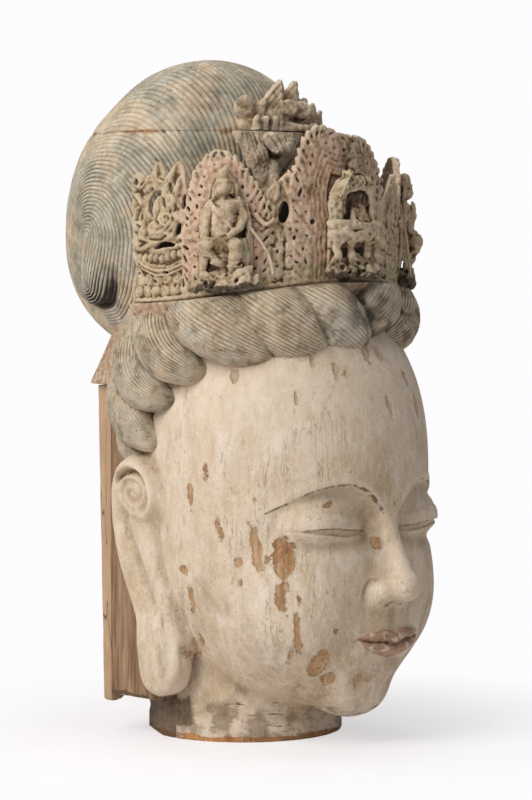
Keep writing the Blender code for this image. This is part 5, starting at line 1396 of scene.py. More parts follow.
# ------------------------------------------- crest and stem on the chignon
def folded_leaf(x, y, z, a, b, wd, th):
    """broad pointed leaf with a ridge down its front: root a, tip b, half width, thickness"""
    a, b = np.array(a, float), np.array(b, float)
    L = np.linalg.norm(b - a)
    d = (b - a) / L
    side = np.cross(d, [0, -1.0, 0])
    side /= np.linalg.norm(side)
    nrm = np.cross(d, side)
    if nrm[1] > 0:
        nrm = -nrm
    px, py, pz = x - a[0], y - a[1], z - a[2]
    u = (px * d[0] + py * d[1] + pz * d[2]) / L
    s = px * side[0] + py * side[1] + pz * side[2]
    n = px * nrm[0] + py * nrm[1] + pz * nrm[2]
    w = wd * (1 - np.clip(u, 0, 1) ** 1.7)
    edge = (np.abs(s) - w) * 0.8
    top = th * (1 - 0.55 * np.clip(u, 0, 1)) - 0.62 * np.abs(s)
    veins = 0.30 * np.sin((np.abs(s) * 0.8 + u * L * 0.6) * 1.7)
    return np.maximum(np.maximum(edge, np.maximum(n - top - veins, -n - 0.6 - 7 * (1 - np.clip(u, 0, 1))) * 0.85), np.maximum(-u * L - 6, (u - 1) * L))


LEAVES = (((0, -36, 546), (1, -40.5, 585), 20, 11), ((19, -36, 546), (19.6, -40.5, 585), 19, 11), ((36, -35, 545), (34.4, -40, 571), 13, 9),
          ((50, -32, 543), (48.8, -37, 567), 12, 8), ((64, -27, 541), (64, -32, 561), 9, 7), ((-19, -34, 545), (-15, -38, 568), 13, 8))


def crest_fine(x, y, z):
    f = smin(ell(x, y, z, (14, -25, 545), (52, 17, 13)), ell(x, y, z, (14, -33, 553), (34, 14, 12)), 4)
    for a, b, wd, th in LEAVES:
        f = smin(f, folded_leaf(x, y, z, a, b, wd, th), 1.4)
    # broad rolled lobe at the left end
    f = smin(f, ell(x, y, z, (-33.5, -33, 559), (12, 7, 11.5)), 3)
    f = smin(f, ell(x, y, z, (-30, -33, 544), (11, 9, 8)), 2)
    f = smax(f, np.where(x < -21, -0.50 * (x + 33.5) - 0.85 * (y + 33) + 0.05 * (z - 559) - 5.0 + 0.9 * np.sin(z * 0.55 + x * 0.3), -9.0), 1.5)
    f = smax(f, -capsule(x, y, z, (-40, -38, 550.5), (-22, -42, 549), 1.3), 1.0)
    # two worn facets over a hollow, a hanging swag under them
    f = smax(f, -ell(x, y, z, (23, -52, 550.0), (17, 12, 4.2)), 1.2)
    for (cx, cy, cz), r in (((7.6, -48, 560), 7.2), ((24.5, -48, 558.6), 7.6), ((38, -43, 556), 5.0)):
        lean = -0.50 * (x - cx) - 0.85 * (y - cy) + 0.10 * (z - cz)
        f = smin(f, smax(ell(x, y, z, (cx, cy, cz), (r * 1.1, r * 1.1, r)), lean - 2.6 + 0.5 * np.sin(x * 0.9 + z * 0.5), 0.8), 2.2)
    for x0, x1 in ((15.6, 16.4), (-1.5, -0.6), (33, 33)):
        f = smax(f, -capsule(x, y, z, (x0, -54, 552), (x1, -53, 567), 1.2), 0.9)
    sw = [(6 + 36 * u, -44 - 9 * math.sin(math.pi * u), 546.5 - 5.0 * math.sin(math.pi * u)) for u in np.linspace(0, 1, 7)]
    f = smin(f, chain(x, y, z, sw, (1.6, 2.4, 2.8, 3.0, 2.8, 2.4, 1.6), 0.6), 1.2)
    f = smin(f, ell(x, y, z, (20, -40, 540), (26, 11, 6)), 2)
    for x0 in (-30, -19, -8):
        f = smin(f, capsule(x, y, z, (x0, -42, 536), (x0 + 2, -43, 549), 4.4, 3.6), 1.2)
    for x0, x1 in ((-24.7, -22), (-13.4, -11), (48, 50)):
        f = smax(f, -capsule(x, y, z, (x0, -48, 536), (x1, -49, 551), 1.2), 0.8)
    return f


def stem_fine(x, y, z):
    f = chain(x, y, z, [(-14, -33, 539), (-19, -42, 508), (-18, -54, 470)], (9, 6.0, 6.6), 3)
    # two fans of folded leaf that spread up to the crest, cut with fine wavy lines
    wave = 0.28 * np.sin(x * 1.7 + 1.4 * np.sin(z * 0.16) + z * 0.55) * sstep(500, 508, z)
    for xt, zt, x0, z0, dy, r0, r1 in ((-46, 538, -22, 488, 1, 4.4, 8.0), (-35, 541, -21, 492, -1, 4.6, 8.5), (-1, 541, -15, 503, -4, 4.4, 9.0), (9, 541, -13, 503, -5, 4.6, 9.0),
                                       (17, 541, -11, 502, -4, 4.4, 8.5), (30, 541, -8, 494, 0, 4.2, 9.5), (41, 541, -4, 490, 3, 4.0, 9.5)):
        g = chain(x, y, z, [(x0, -49, z0), (0.5 * (x0 + xt) - 1, -46 + dy, 0.5 * (z0 + zt)), (xt, -41 + dy, zt)], (r0, 0.5 * (r0 + r1) + 0.6, r1), 3)
        f = smin(f, g + wave, 2.2)
    f = smax(f, -capsule(x, y, z, (23, -52, 536), (-8, -52, 499), 2.6, 1.4), 1.2)
    f = smax(f, -capsule(x, y, z, (-41, -49, 540), (-24, -53, 500), 1.2, 0.8), 1.0)
    # two pegs that hang below the joint
    for x0 in (-30.6, -19.0):
        f = smin(f, capsule(x, y, z, (x0, -47, 541), (x0 + 0.6, -49, 530.5), 4.2, 3.8), 0.8)
    f = smax(f, -capsule(x, y, z, (-24.8, -53, 529), (-24.8, -51, 546), 1.4), 0.8)
    # folded bud over a dark throat
    f = smin(f, capsule(x, y, z, (-27.5, -52, 531), (-20.5, -59.5, 519.5), 4.6, 2.6), 1.2)
    f = smin(f, capsule(x, y, z, (-19.0, -52, 532), (-15.0, -59.0, 520.5), 4.4, 2.6), 0.6)
    f = smin(f, capsule(x, y, z, (-12.0, -51, 528), (-12.6, -57.0, 518.5), 3.2, 2.2), 0.8)
    f = smax(f, -ell(x, y, z, (-18.0, -59, 514.6), (7.0, 8.5, 3.4)), 1.0)
    f = smin(f, chain(x, y, z, [(-18.5, -51, 510), (-18.5, -54, 494), (-18, -57, 474)], (5.6, 6.2, 5.4), 2), 2.0)
    return f


# ------------------------------------------------------ wear and paint fields
# paint losses on the painted skin: centre, half width, half height (mm), lean (degrees)
LOSSES = (
    (-90.1, -133.5, 170.0, 10.6, 20.5, 0), (-88.0, -137.0, 180.0, 8.0, 6.1, 0), (-104.9, -115.9, 178.0, 5.0, 21.0, -12),
    (-94.7, -136.0, 136.0, 4.9, 12.5, -4), (-92.5, -138.9, 146.0, 3.6, 5.0, 20), (-86.6, -146.3, 115.2, 3.2, 8.7, -8),
    (-82.6, -145.2, 100.7, 2.6, 12.7, -4), (-81.7, -135.0, 86.8, 2.2, 6.6, 0), (-58.5, -144.9, 76.7, 8.4, 14.6, 8),
    (-42.6, -141.9, 63.5, 6.1, 6.9, 0), (-22.6, -155.4, 61.0, 3.2, 6.8, 0), (-56.0, -160.0, 108.0, 2.4, 3.0, 12),
    (-110.7, -100.1, 165.4, 3.9, 4.3, 0), (-116.7, -84.4, 193.0, 3.0, 9.5, -14), (-62.0, -158.0, 217.0, 4.6, 2.6, -20),
    (-15.0, -176.0, 181.0, 4.2, 4.4, 10),
    (-120.9, -52.0, 223.2, 3.7, 9.5, -4), (-119.9, -70.6, 244.0, 2.2, 6.9, 0), (-103.7, -88.4, 324.8, 4.4, 6.7, 0),
    (-46.6, -153.5, 330.1, 3.3, 9.0, -4), (-9.5, -154.5, 346.4, 4.2, 11.0, 4), (5.9, -155.8, 344.3, 3.4, 5.4, 0),
    (2.3, -173.0, 296.4, 3.0, 9.4, -8), (46.0, -164.8, 297.1, 4.8, 10.4, -6),
    (-80.5, -139.6, 306.8, 1.7, 5.2, -6), (-103.0, -34.0, 82.0, 2.6, 17.0, 4), (-116.4, -39.8, 155.2, 5.2, 5.3, 0),
    (-111.6, -44.8, 129.0, 3.2, 11.7, 0), (-99.4, -44.7, 92.8, 3.2, 5.7, 0), (34.2, -161.1, 322.8, 4.1, 7.0, 0),
    (-61.4, -140.4, 338.7, 2.2, 6.5, 8), (-106.3, -116.1, 220.0, 2.2, 2.1, 0), 
    (-100.7, -126.0, 169.1, 2.2, 3.8, 0), (-86.9, -150.4, 135.7, 1.7, 4.3, 0), (-109.6, -101.4, 146.5, 2.0, 3.5, 0),
    (-38.4, -157.5, 328.2, 1.9, 4.5, 0),
    # the far side, plainer
    (96, -124, 172, 7.5, 13, 6), (104, -96, 120, 4.5, 15, -5), (82, -138, 262, 5, 9, 0), (112, -60, 204, 4, 12, 4),
    (64, -140, 78, 6.5, 9, 12), (88, -130, 312, 3, 9, 0), (108, -44, 150, 4, 7, 0), (40, -150, 62, 4, 6, 0),
    (118, -20, 110, 3, 12, 0), (100, -110, 226, 2.6, 5, 0),
)


def blob_field(P, blobs):
    """mm inside the nearest mark, negative outside"""
    best = np.full(len(P), -12.0)
    for x, y, z, ru, rv, tl in blobs:
        ru, rv = ru * 0.86, rv * 0.9
        D = P - np.array([x, y, z])
        n = np.array([x, y + 30, 0.0])
        n /= np.linalg.norm(n)
        h = np.array([-n[1], n[0], 0.0])
        a, b, c = D @ h, D[:, 2], D @ n
        ct, st = np.cos(np.radians(tl)), np.sin(np.radians(tl))
        q = np.hypot((a * ct - b * st) / ru, (a * st + b * ct) / rv)
        v = (1 - q) * min(ru, rv)
        best = np.maximum(best, np.where(np.abs(c) < 13, v, -12.0))
    return best


def skin_fields(P, N, T):
    """soft fields at the vertices of the head for its paint"""
    x, y, z = P.T
    ax = np.abs(x)
    wob = np.stack([noise3(P, 9, 51), noise3(P, 9, 52), noise3(P, 13, 53)], 1) * 2.0
    loss = blob_field(P + wob, LOSSES)
    near, far = smooth_field(hollows(P, T, N, 5), T, 3), smooth_field(hollows(P, T, N, 60), T, 14)
    cav = np.tanh(near / 0.30) * 0.40 + np.tanh(far / 4.5) * 0.60
    # dirt and painted shade are deepest round the ears, along the jaw and under it
    aside = sstep(-108, -66, y) * (z < 300)
    patchy = np.clip(0.5 + 1.3 * fbm(P, 8, 3, 69), 0, 1)
    cav = cav + patchy * (0.38 * aside * np.clip(cav, 0, 1) + 0.30 * sstep(66, 40, z) * sstep(-132, -104, y) * (z > 24))
    face_on = sstep(-96, -112, y) * sstep(300, 280, z)
    zf = feature_height(z)
    _, lip = lip_fields(ax, zf)
    lips = np.where(face_on > 0.5, np.clip(lip, -8, 8), -8)
    s = brow_line(ax) - zf
    brow = np.where((y < -90) & (ax > 9) & (ax < 103), np.abs(s - 0.6), 20.0)
    brow = np.minimum(brow, 20) + np.where(x > 0, 0.4, 0)
    zs, wo, t = eye_line(ax)
    lash = np.where((y < -118) & (np.abs(t) < 1.15), np.abs(zf - zs - wo - 0.4) + 6 * np.clip(np.abs(t) - 0.92, 0, 1), 20.0)
    th = np.degrees(np.arctan2(-x, -(y - AX_Y)))
    rho = np.hypot(x, y - AX_Y)
    # bare wood: the back of the block, its underside, the neck's sawn foot
    block = sstep(2.5, 7.0, y) * sstep(0.6, 0.9, np.where((ax > 101.5) & (ax < 106.8), 1.0, 0)) * (z < 306)
    block = np.maximum(block, sstep(BACK_Y - 2.5, BACK_Y - 0.6, y))
    block = np.maximum(block, sstep(-0.3, -0.8, N[:, 2]) * (y > -2) * (z < 40) * (z > 25))
    foot = np.clip(5.0 + 2.2 * noise3(P, 16, 61) + 1.2 * noise3(P, 5, 62) - z, -8, 8)
    # the cut facet of the neck, painted dark as shade under the overhanging board, greyed stains on it; a stain of the
    # same colour low on the neck in front of it
    facet = sstep(0.55, 0.8, -0.86 * N[:, 0] + 0.51 * N[:, 1]) * (z < 36) * (y > 0)
    eave = sstep(306, 318, z) * sstep(70, 84, np.abs(th)) + sstep(376, 384, z)
    u = 0.6947 * x - 0.7193 * y
    facet = np.maximum(facet, 0.62 * sstep(-86, -74, u) * sstep(-32, -52, u) * (0.7193 * x + 0.6947 * y < 0) * sstep(46, 36, z) * sstep(6, 14, z))
    under = np.where(z < 36, 1.0, 0.0)
    return dict(loss=loss, cav=cav, lips=lips, brow=brow, lash=lash, bare=np.clip(block, 0, 1), foot=foot,
                facet=facet, eave=np.clip(eave, 0, 1), neck=under, hgt=z / 400.0)


# ------------------------------------------------------------------ materials
def srgb(r, g, b, k=1.0):
    f = lambda v: (v / 255 / 12.92 if v / 255 <= 0.04045 else ((v / 255 + 0.055) / 1.055) ** 2.4) * k
    return (f(r), f(g), f(b), 1.0)


class Paint:
    """small helper that builds a node material"""

    def __init__(self, name):
        self.m = bpy.data.materials.new(name)
        self.m.use_nodes = True
        self.t = self.m.node_tree
        self.t.nodes.clear()
        self.out = self.node("ShaderNodeOutputMaterial")
        self.bsdf = self.node("ShaderNodeBsdfPrincipled")
        self.t.links.new(self.bsdf.outputs[0], self.out.inputs[0])
        tc = self.node("ShaderNodeTexCoord")
        mp = self.node("ShaderNodeMapping")
        mp.inputs["Scale"].default_value = (1000.0, 1000.0, 1000.0)
        self.t.links.new(tc.outputs["Object"], mp.inputs["Vector"])
        self.mm = mp.outputs[0]          # object coordinates in mm
        self.h = None

    def node(self, kind, **props):
        n = self.t.nodes.new(kind)
        for k, v in props.items():
            setattr(n, k, v)
        return n

    def put(self, sock, v):
        if v is None:
            return
        if isinstance(v, bpy.types.NodeSocket):
            self.t.links.new(v, sock)
        else:
            sock.default_value = v

    def attr(self, name):
        n = self.node("ShaderNodeAttribute")
        n.attribute_type = "GEOMETRY"
        n.attribute_name = name
        return n.outputs["Fac"]

    def math(self, op, a, b=None, c=None, clamp=False):
        n = self.node("ShaderNodeMath", operation=op, use_clamp=clamp)
        self.put(n.inputs[0], a)
        self.put(n.inputs[1], b)
        self.put(n.inputs[2], c)
        return n.outputs[0]

    def add(self, a, b):
        return self.math("ADD", a, b)

    def mul(self, a, b):
        return self.math("MULTIPLY", a, b)

    def mad(self, a, b, c):
        return self.math("MULTIPLY_ADD", a, b, c)

    def step(self, v, lo, hi, a=0.0, b=1.0, smooth=True):
        n = self.node("ShaderNodeMapRange", interpolation_type="SMOOTHSTEP" if smooth else "LINEAR", clamp=True)
        self.put(n.inputs["Value"], v)
        n.inputs["From Min"].default_value = lo
        n.inputs["From Max"].default_value = hi
        n.inputs["To Min"].default_value = a
        n.inputs["To Max"].default_value = b
        return n.outputs["Result"]

    def noise(self, size, detail=3.0, rough=0.5, stretch=(1, 1, 1), dist=0.0, off=0.0, kind="FBM"):
        """noise in 0..1 (about 0.5); size is its lump in mm"""
        mp = self.node("ShaderNodeMapping")
        mp.inputs["Scale"].default_value = tuple(1.0 / (size * s) for s in stretch)
        mp.inputs["Location"].default_value = (off, off * 0.7, -off)
        self.t.links.new(self.mm, mp.inputs["Vector"])
        n = self.node("ShaderNodeTexNoise", noise_dimensions="3D", noise_type=kind)
        self.t.links.new(mp.outputs[0], n.inputs["Vector"])
        n.inputs["Scale"].default_value = 1.0
        n.inputs["Detail"].default_value = detail
        n.inputs["Roughness"].default_value = rough
        n.inputs["Distortion"].default_value = dist
        return n.outputs["Fac"]

    def cells(self, size, stretch=(1, 1, 1), feature="DISTANCE_TO_EDGE", off=0.0, warp=None, rnd=1.0):
        mp = self.node("ShaderNodeMapping")
        mp.inputs["Scale"].default_value = tuple(1.0 / (size * s) for s in stretch)
        mp.inputs["Location"].default_value = (off, off, off)
        self.t.links.new(self.mm, mp.inputs["Vector"])
        v = mp.outputs[0]
        if warp:
            nz = self.node("ShaderNodeTexNoise", noise_dimensions="3D")
            self.t.links.new(v, nz.inputs["Vector"])
            nz.inputs["Scale"].default_value = 1.3
            nz.inputs["Detail"].default_value = 3.0
            mx = self.node("ShaderNodeMix", data_type="RGBA", blend_type="ADD")
            mx.inputs["Factor"].default_value = warp
            self.t.links.new(v, mx.inputs[6])
            self.t.links.new(nz.outputs["Color"], mx.inputs[7])
            v = mx.outputs[2]
        n = self.node("ShaderNodeTexVoronoi", voronoi_dimensions="3D", feature=feature)
        self.t.links.new(v, n.inputs["Vector"])
        n.inputs["Scale"].default_value = 1.0
        n.inputs["Randomness"].default_value = rnd
        return n.outputs["Distance"]

    def mix(self, f, a, b, blend="MIX"):
        n = self.node("ShaderNodeMix", data_type="RGBA", blend_type=blend, clamp_factor=True)
        self.put(n.inputs["Factor"], f)
        self.put(n.inputs[6], a)
        self.put(n.inputs[7], b)
        return n.outputs[2]

    def ramp(self, f, stops, interp="LINEAR"):
        n = self.node("ShaderNodeValToRGB")
        n.color_ramp.interpolation = interp
        e = n.color_ramp.elements
        while len(e) > 1:
            e.remove(e[0])
        e[0].position, e[0].color = stops[0]
        for p, c in stops[1:]:
            k = e.new(p)
            k.color = c
        self.put(n.inputs[0], f)
        return n.outputs[0]

    def height(self, v, mm):
        """adds a height in mm to the bump"""
        t = self.mul(v, mm * MM)
        self.h = t if self.h is None else self.add(self.h, t)

    def done(self, colour, rough, strength=1.0, spec=0.35):
        self.put(self.bsdf.inputs["Base Color"], colour)
        self.put(self.bsdf.inputs["Roughness"], rough)
        self.bsdf.inputs["Specular IOR Level"].default_value = spec
        if self.h is not None:
            b = self.node("ShaderNodeBump")
            b.inputs["Strength"].default_value = strength
            b.inputs["Distance"].default_value = 1.0
            self.t.links.new(self.h, b.inputs["Height"])
            self.t.links.new(b.outputs[0], self.bsdf.inputs["Normal"])
        return self.m


def wood_colour(p, dark, mid, light, off=0.0):
    """bare carved wood with upright grain"""
    g = p.noise(3.2, 6, 0.62, (1, 1, 16), 0.4, off)
    g2 = p.noise(24, 3, 0.5, (1, 1, 4), 0.0, off + 3)
    v = p.add(p.mul(g, 0.72), p.mul(g2, 0.36))
    return p.ramp(v, [(0.30, dark), (0.50, mid), (0.70, light)]), g


def skin_material():
    p = Paint("worn_gesso_paint")
    loss, cav = p.attr("loss"), p.attr("cav")
    lips, brow, lash = p.attr("lips"), p.attr("brow"), p.attr("lash")
    bare, foot, facet, eave, neck, hgt = (p.attr(k) for k in ("bare", "foot", "facet", "eave", "neck", "hgt"))
    big, mid = p.noise(70, 3, 0.5, (1, 1, 1.5)), p.noise(17, 4, 0.6, (1, 1, 1.8), 0.3, 5)
    small, tiny = p.noise(4.2, 4, 0.65, off=9), p.noise(1.1, 2, 0.6, off=2)
    v = p.add(p.add(p.mul(big, 0.40), p.mul(mid, 0.40)), p.mul(small, 0.20))
    c = p.ramp(v, [(0.30, srgb(180, 157, 126)), (0.43, srgb(203, 182, 153)), (0.53, srgb(216, 197, 172)), (0.66, srgb(229, 213, 194))])
    # ochre and brown stains that run with the grain
    st = p.noise(30, 5, 0.66, (1, 1, 2.6), 0.6, 101)
    c = p.mix(p.mul(p.step(st, 0.50, 0.68), 0.50), c, srgb(190, 162, 124))
    st2 = p.noise(9, 5, 0.7, (1, 1, 3.4), 0.3, 104)
    c = p.mix(p.mul(p.step(st2, 0.54, 0.68), 0.40), c, srgb(168, 140, 106))
    grit = p.noise(1.5, 4, 0.75, (1, 1, 1.5), 0.0, 107)
    c = p.mix(p.step(grit, 0.46, 0.30, 0.0, 0.50), c, srgb(158, 132, 100))
    c = p.mix(p.step(grit, 0.54, 0.70, 0.0, 0.52), c, srgb(238, 228, 214))
    # greyed dirt in blotches, more toward the jaw
    dirt = p.noise(26, 5, 0.62, (1, 1, 2.2), 0.5, 14)
    low = p.step(hgt, 0.62, 0.05)
    c = p.mix(p.mul(p.step(dirt, 0.47, 0.68), p.mad(low, 0.50, 0.20)), c, srgb(152, 134, 108))
    # pinkish rubbed patches
    rub = p.noise(38, 3, 0.5, off=21)
    c = p.mix(p.mul(p.step(rub, 0.52, 0.70), 0.42), c, srgb(228, 205, 188))
    chalk = p.noise(13, 5, 0.7, (1, 1, 1.5), 0.2, 113)
    c = p.mix(p.mul(p.step(chalk, 0.50, 0.66), 0.42), c, srgb(233, 221, 206))
    # fine brown specks and pale flecks
    c = p.mix(p.mul(p.step(p.noise(2.3, 3, 0.7, (1, 1, 1.6), off=31), 0.60, 0.70), 0.55), c, srgb(150, 126, 96))
    c = p.mix(p.mul(p.step(p.noise(3.1, 3, 0.7, (1, 1, 2.2), off=36), 0.62, 0.72), 0.5), c, srgb(238, 228, 214))
    # dirt and painted shade darken the hollows; the raised parts are rubbed clean
    c = p.mix(p.mul(p.step(p.add(p.add(p.mul(small, 0.7), p.mul(mid, 0.7)), cav), 0.78, 1.90, smooth=False), p.step(p.noise(4.5, 5, 0.72, (1, 1, 1.6), off=116), 0.36, 0.60, 0.42, 0.95)), c, srgb(128, 101, 70))
    c = p.mix(p.mul(p.step(cav, -0.15, -0.75), 0.30), c, srgb(236, 222, 203))
    # upright cracks that follow the wood's grain below
    ck = p.noise(7.5, 4, 0.55, (1, 1, 9), 0.15, 41, kind="FBM")
    line = p.step(p.math("ABSOLUTE", p.add(ck, -0.5)), 0.010, 0.0)
    where = p.step(p.noise(30, 3, 0.5, (1, 1, 2.5), off=44), 0.53, 0.62)
    crack = p.mul(line, where)
    c = p.mix(p.mul(crack, 0.34), c, srgb(132, 106, 78))
    # lips, brows and lashes: thin worn paint
    lip = p.mul(p.step(p.mad(small, 2.2, p.add(lips, -1.3)), 0.0, 1.0), p.step(p.noise(6, 4, 0.65, off=52), 0.36, 0.50))
    c = p.mix(p.mul(lip, 0.82), c, p.ramp(p.add(p.mul(tiny, 0.4), p.mul(p.noise(5, 4, 0.7, (2.4, 1, 1), off=53), 0.6)), [(0.36, srgb(124, 84, 66)), (0.50, srgb(160, 118, 96)), (0.64, srgb(186, 148, 124))]))
    bw = p.mul(p.step(p.mad(small, 1.8, brow), 2.35, 1.25), p.step(p.noise(9, 4, 0.7, off=55), 0.41, 0.52))
    c = p.mix(p.mul(bw, 0.85), c, srgb(86, 74, 58))
    ls = p.mul(p.step(p.mad(small, 1.2, lash), 1.75, 0.9), p.step(p.noise(7, 4, 0.7, off=58), 0.38, 0.50))
    c = p.mix(p.mul(ls, 0.80), c, srgb(78, 62, 48))
    # chips: ground showing wood
    wc, grain = wood_colour(p, srgb(122, 86, 52), srgb(178, 138, 98), srgb(208, 176, 140), 61)
    wc = p.mix(p.mul(p.step(mid, 0.46, 0.60), 0.55), wc, srgb(150, 104, 66))
    wc = p.mix(p.mul(p.step(p.noise(3.4, 4, 0.7, (1, 1, 2.4), off=67), 0.54, 0.64), 0.5), wc, srgb(208, 184, 154))
    edge = p.add(loss, p.add(p.mul(p.add(p.noise(5.5, 5, 0.7, off=63), -0.5), 9.0), p.mul(p.add(p.noise(1.6, 3, 0.6, off=65), -0.5), 2.4)))
    chips = p.mul(p.step(p.noise(5.2, 5, 0.72, (1, 1, 2.0), 0.2, 71), 0.665, 0.69), p.step(p.noise(60, 2, 0.5, off=74), 0.44, 0.60))
    hole = p.math("MAXIMUM", p.step(edge, -0.5, 0.5), chips)
    keep = p.step(p.noise(3.0, 4, 0.7, (1, 1, 2.2), off=76), 0.60, 0.66)
    hole = p.mul(hole, p.mad(keep, -0.75, 1.0))
    halo = p.mul(p.step(edge, -2.2, -0.2), 0.5)
    c = p.mix(halo, c, srgb(196, 172, 142))
    c = p.mix(p.mul(p.step(p.math("ABSOLUTE", p.add(edge, 0.1)), 0.9, 0.0), p.step(small, 0.46, 0.60, 0.0, 0.42)), c, srgb(128, 98, 70))
    c = p.mix(hole, c, wc)
    # painted light: the brow and forehead are painted paler, to make up for the shade the hair roll casts on them
    c = p.mix(p.mul(p.step(hgt, 0.60, 0.76), 0.36), c, p.ramp(mid, [(0.35, srgb(219, 201, 178)), (0.65, srgb(234, 220, 202))]))
    # bare wood of the block, worn eave, sawn foot
    bc, bg = wood_colour(p, srgb(84, 60, 42), srgb(132, 102, 76), srgb(176, 146, 116), 81)
    bmask = p.step(p.add(bare, p.mul(p.add(small, -0.5), 0.5)), 0.42, 0.58)
    c = p.mix(bmask, c, bc)
    fm = p.step(foot, -0.4, 0.4)
    fc, fg = wood_colour(p, srgb(120, 76, 40), srgb(178, 122, 72), srgb(206, 158, 108), 84)
    c = p.mix(fm, c, fc)
    dash = p.mul(neck, p.step(p.noise(4.5, 4, 0.7, (4.5, 4.5, 0.7), 0.1, 86), 0.60, 0.64))
    c = p.mix(p.mul(dash, 0.85), c, srgb(46, 40, 34))
    flake = p.mul(neck, p.step(p.noise(6, 4, 0.7, (3, 3, 0.9), off=88), 0.58, 0.64))
    c = p.mix(p.mul(flake, 0.7), c, srgb(226, 216, 200))
    stain = p.mul(neck, p.step(p.noise(22, 4, 0.6, (1, 1, 0.7), off=89), 0.46, 0.60))
    c = p.mix(p.mul(stain, 0.6), c, srgb(118, 98, 76))
    # painted shade on the neck's cut facet, with the stain beside it: dark brown
    c = p.mix(p.mul(p.step(p.add(facet, p.mul(p.add(mid, -0.5), 0.8)), 0.35, 0.6), 0.85), c, p.ramp(small, [(0.3, srgb(66, 50, 33)), (0.7, srgb(106, 84, 58))]))
    ec = p.ramp(p.add(p.mul(small, 0.5), p.mul(mid, 0.5)), [(0.36, srgb(112, 88, 66)), (0.45, srgb(160, 130, 104)), (0.55, srgb(192, 166, 142)), (0.66, srgb(214, 198, 178))])
    c = p.mix(p.step(p.add(eave, p.mul(p.add(small, -0.5), 0.6)), 0.35, 0.6), c, ec)
    p.height(small, 0.5)
    p.height(tiny, 0.22)
    p.height(p.noise(2.6, 5, 0.6, (1, 1, 7), 0.0, 91), 0.35)
    p.height(hole, -0.75)
    p.height(crack, -0.35)
    p.height(p.mul(bmask, bg), 1.2)
    r = p.step(v, 0.3, 0.7, 0.78, 0.62)
    r = p.math("MAXIMUM", r, p.mul(hole, 0.88))
    return p.done(c, r, 0.9, 0.28)


def hair_material(name, warm, cool, seed, sooty):
    """combed hair: worn pale ridges, dark grooves, remains of blue and green"""
    p = Paint(name)
    groove, deep, wear, fill = p.attr("groove"), p.attr("deep"), p.attr("wear"), p.attr("fill")
    big, mid = p.noise(58, 3, 0.5, off=seed), p.noise(14, 4, 0.62, off=seed + 4, dist=0.4)
    small, tiny = p.noise(3.4, 4, 0.68, off=seed + 7), p.noise(1.0, 2, 0.6, off=seed + 9)
    v = p.add(p.add(p.mul(big, 0.34), p.mul(mid, 0.42)), p.mul(small, 0.24))
    a = p.ramp(v, [(0.34, srgb(150, 132, 106)), (0.46, srgb(184, 165, 138)), (0.56, srgb(202, 185, 160)), (0.66, srgb(220, 206, 184))])
    b = p.ramp(v, [(0.36, srgb(126, 120, 106)), (0.50, srgb(162, 156, 140)), (0.64, srgb(194, 188, 174))])
    c = p.mix(p.mul(p.step(p.add(p.noise(44, 4, 0.6, off=seed + 12), p.mul(wear, 0.34)), 0.54, 0.70), 0.3 + 0.72 * cool), a, b)
    # remains of blue, then green, strongest in the grooves
    blue = p.mul(p.step(p.noise(24, 5, 0.72, off=seed + 16), 0.50, 0.66), p.mad(groove, 0.40, 0.22))
    c = p.mix(p.mul(blue, cool), c, srgb(122, 136, 142))
    green = p.mul(p.step(p.noise(17, 5, 0.72, off=seed + 19), 0.52, 0.66), p.mad(groove, 0.42, 0.20))
    c = p.mix(green, c, srgb(122, 130, 104))
    pinkish = p.mul(p.step(p.noise(21, 5, 0.7, off=seed + 21), 0.54, 0.68), 0.45)
    c = p.mix(pinkish, c, srgb(198, 168, 146))
    # grooves hold soot and dirt
    g = p.add(groove, p.mul(p.add(small, -0.5), 0.9))
    c = p.mix(p.mul(p.step(g, 0.18, 0.95), p.mad(p.step(p.noise(15, 4, 0.7, off=seed + 41), 0.40, 0.62), 0.42, 0.30 + 0.28 * sooty)), c, p.ramp(mid, [(0.35, srgb(70, 62, 48)), (0.65, srgb(104, 94, 76))]))
    # pale rubbed ridges and brown chips down to the wood
    rubbed = p.add(p.mul(p.noise(9, 4, 0.6, off=seed + 44), 0.7), p.mul(small, 0.3))
    c = p.mix(p.mul(p.step(p.add(p.mul(groove, -0.35), rubbed), 0.44, 0.62), 0.50), c, srgb(218, 205, 183))
    chip = p.mul(p.step(p.noise(4.6, 5, 0.72, off=seed + 23), 0.62, 0.66), p.step(p.noise(34, 3, 0.5, off=seed + 25), 0.44, 0.58))
    c = p.mix(p.mul(chip, warm), c, p.ramp(small, [(0.3, srgb(120, 82, 50)), (0.7, srgb(176, 130, 84))]))
    # painted shade, near black: the chignon's undercut and its part hidden by the crown, the roll where locks meet, at
    # their ends and in patches on its front; also the dark seam of the chignon's joint
    c = p.mix(p.mul(p.step(p.add(deep, p.mul(p.add(small, -0.5), 0.5)), 0.18, 0.85), 0.9), c, srgb(44, 36, 27))
    # brown: filler along the chignon's joint; on the roll, painted shade at the locks' ends and backs
    fc = p.ramp(small, [(0.30, srgb(112, 78, 48)), (0.50, srgb(164, 122, 82)), (0.70, srgb(196, 160, 120))])
    c = p.mix(p.mul(p.step(p.add(fill, p.mul(p.add(small, -0.5), 0.8)), 0.45, 0.7), 0.8), c, fc)
    soot_and_shade = p.step(p.noise(15, 5, 0.72, off=seed + 31), 0.49, 0.68)
    c = p.mix(p.mul(soot_and_shade, sooty), c, p.ramp(small, [(0.35, srgb(84, 66, 44)), (0.62, srgb(120, 100, 74))]))
    p.height(small, 0.35)
    p.height(tiny, 0.25)
    p.height(chip, -0.6)
    p.height(p.noise(1.8, 4, 0.6, off=seed + 33), 0.3)
    r = p.step(v, 0.3, 0.7, 0.86, 0.70)
    return p.done(c, r, 0.85, 0.25)


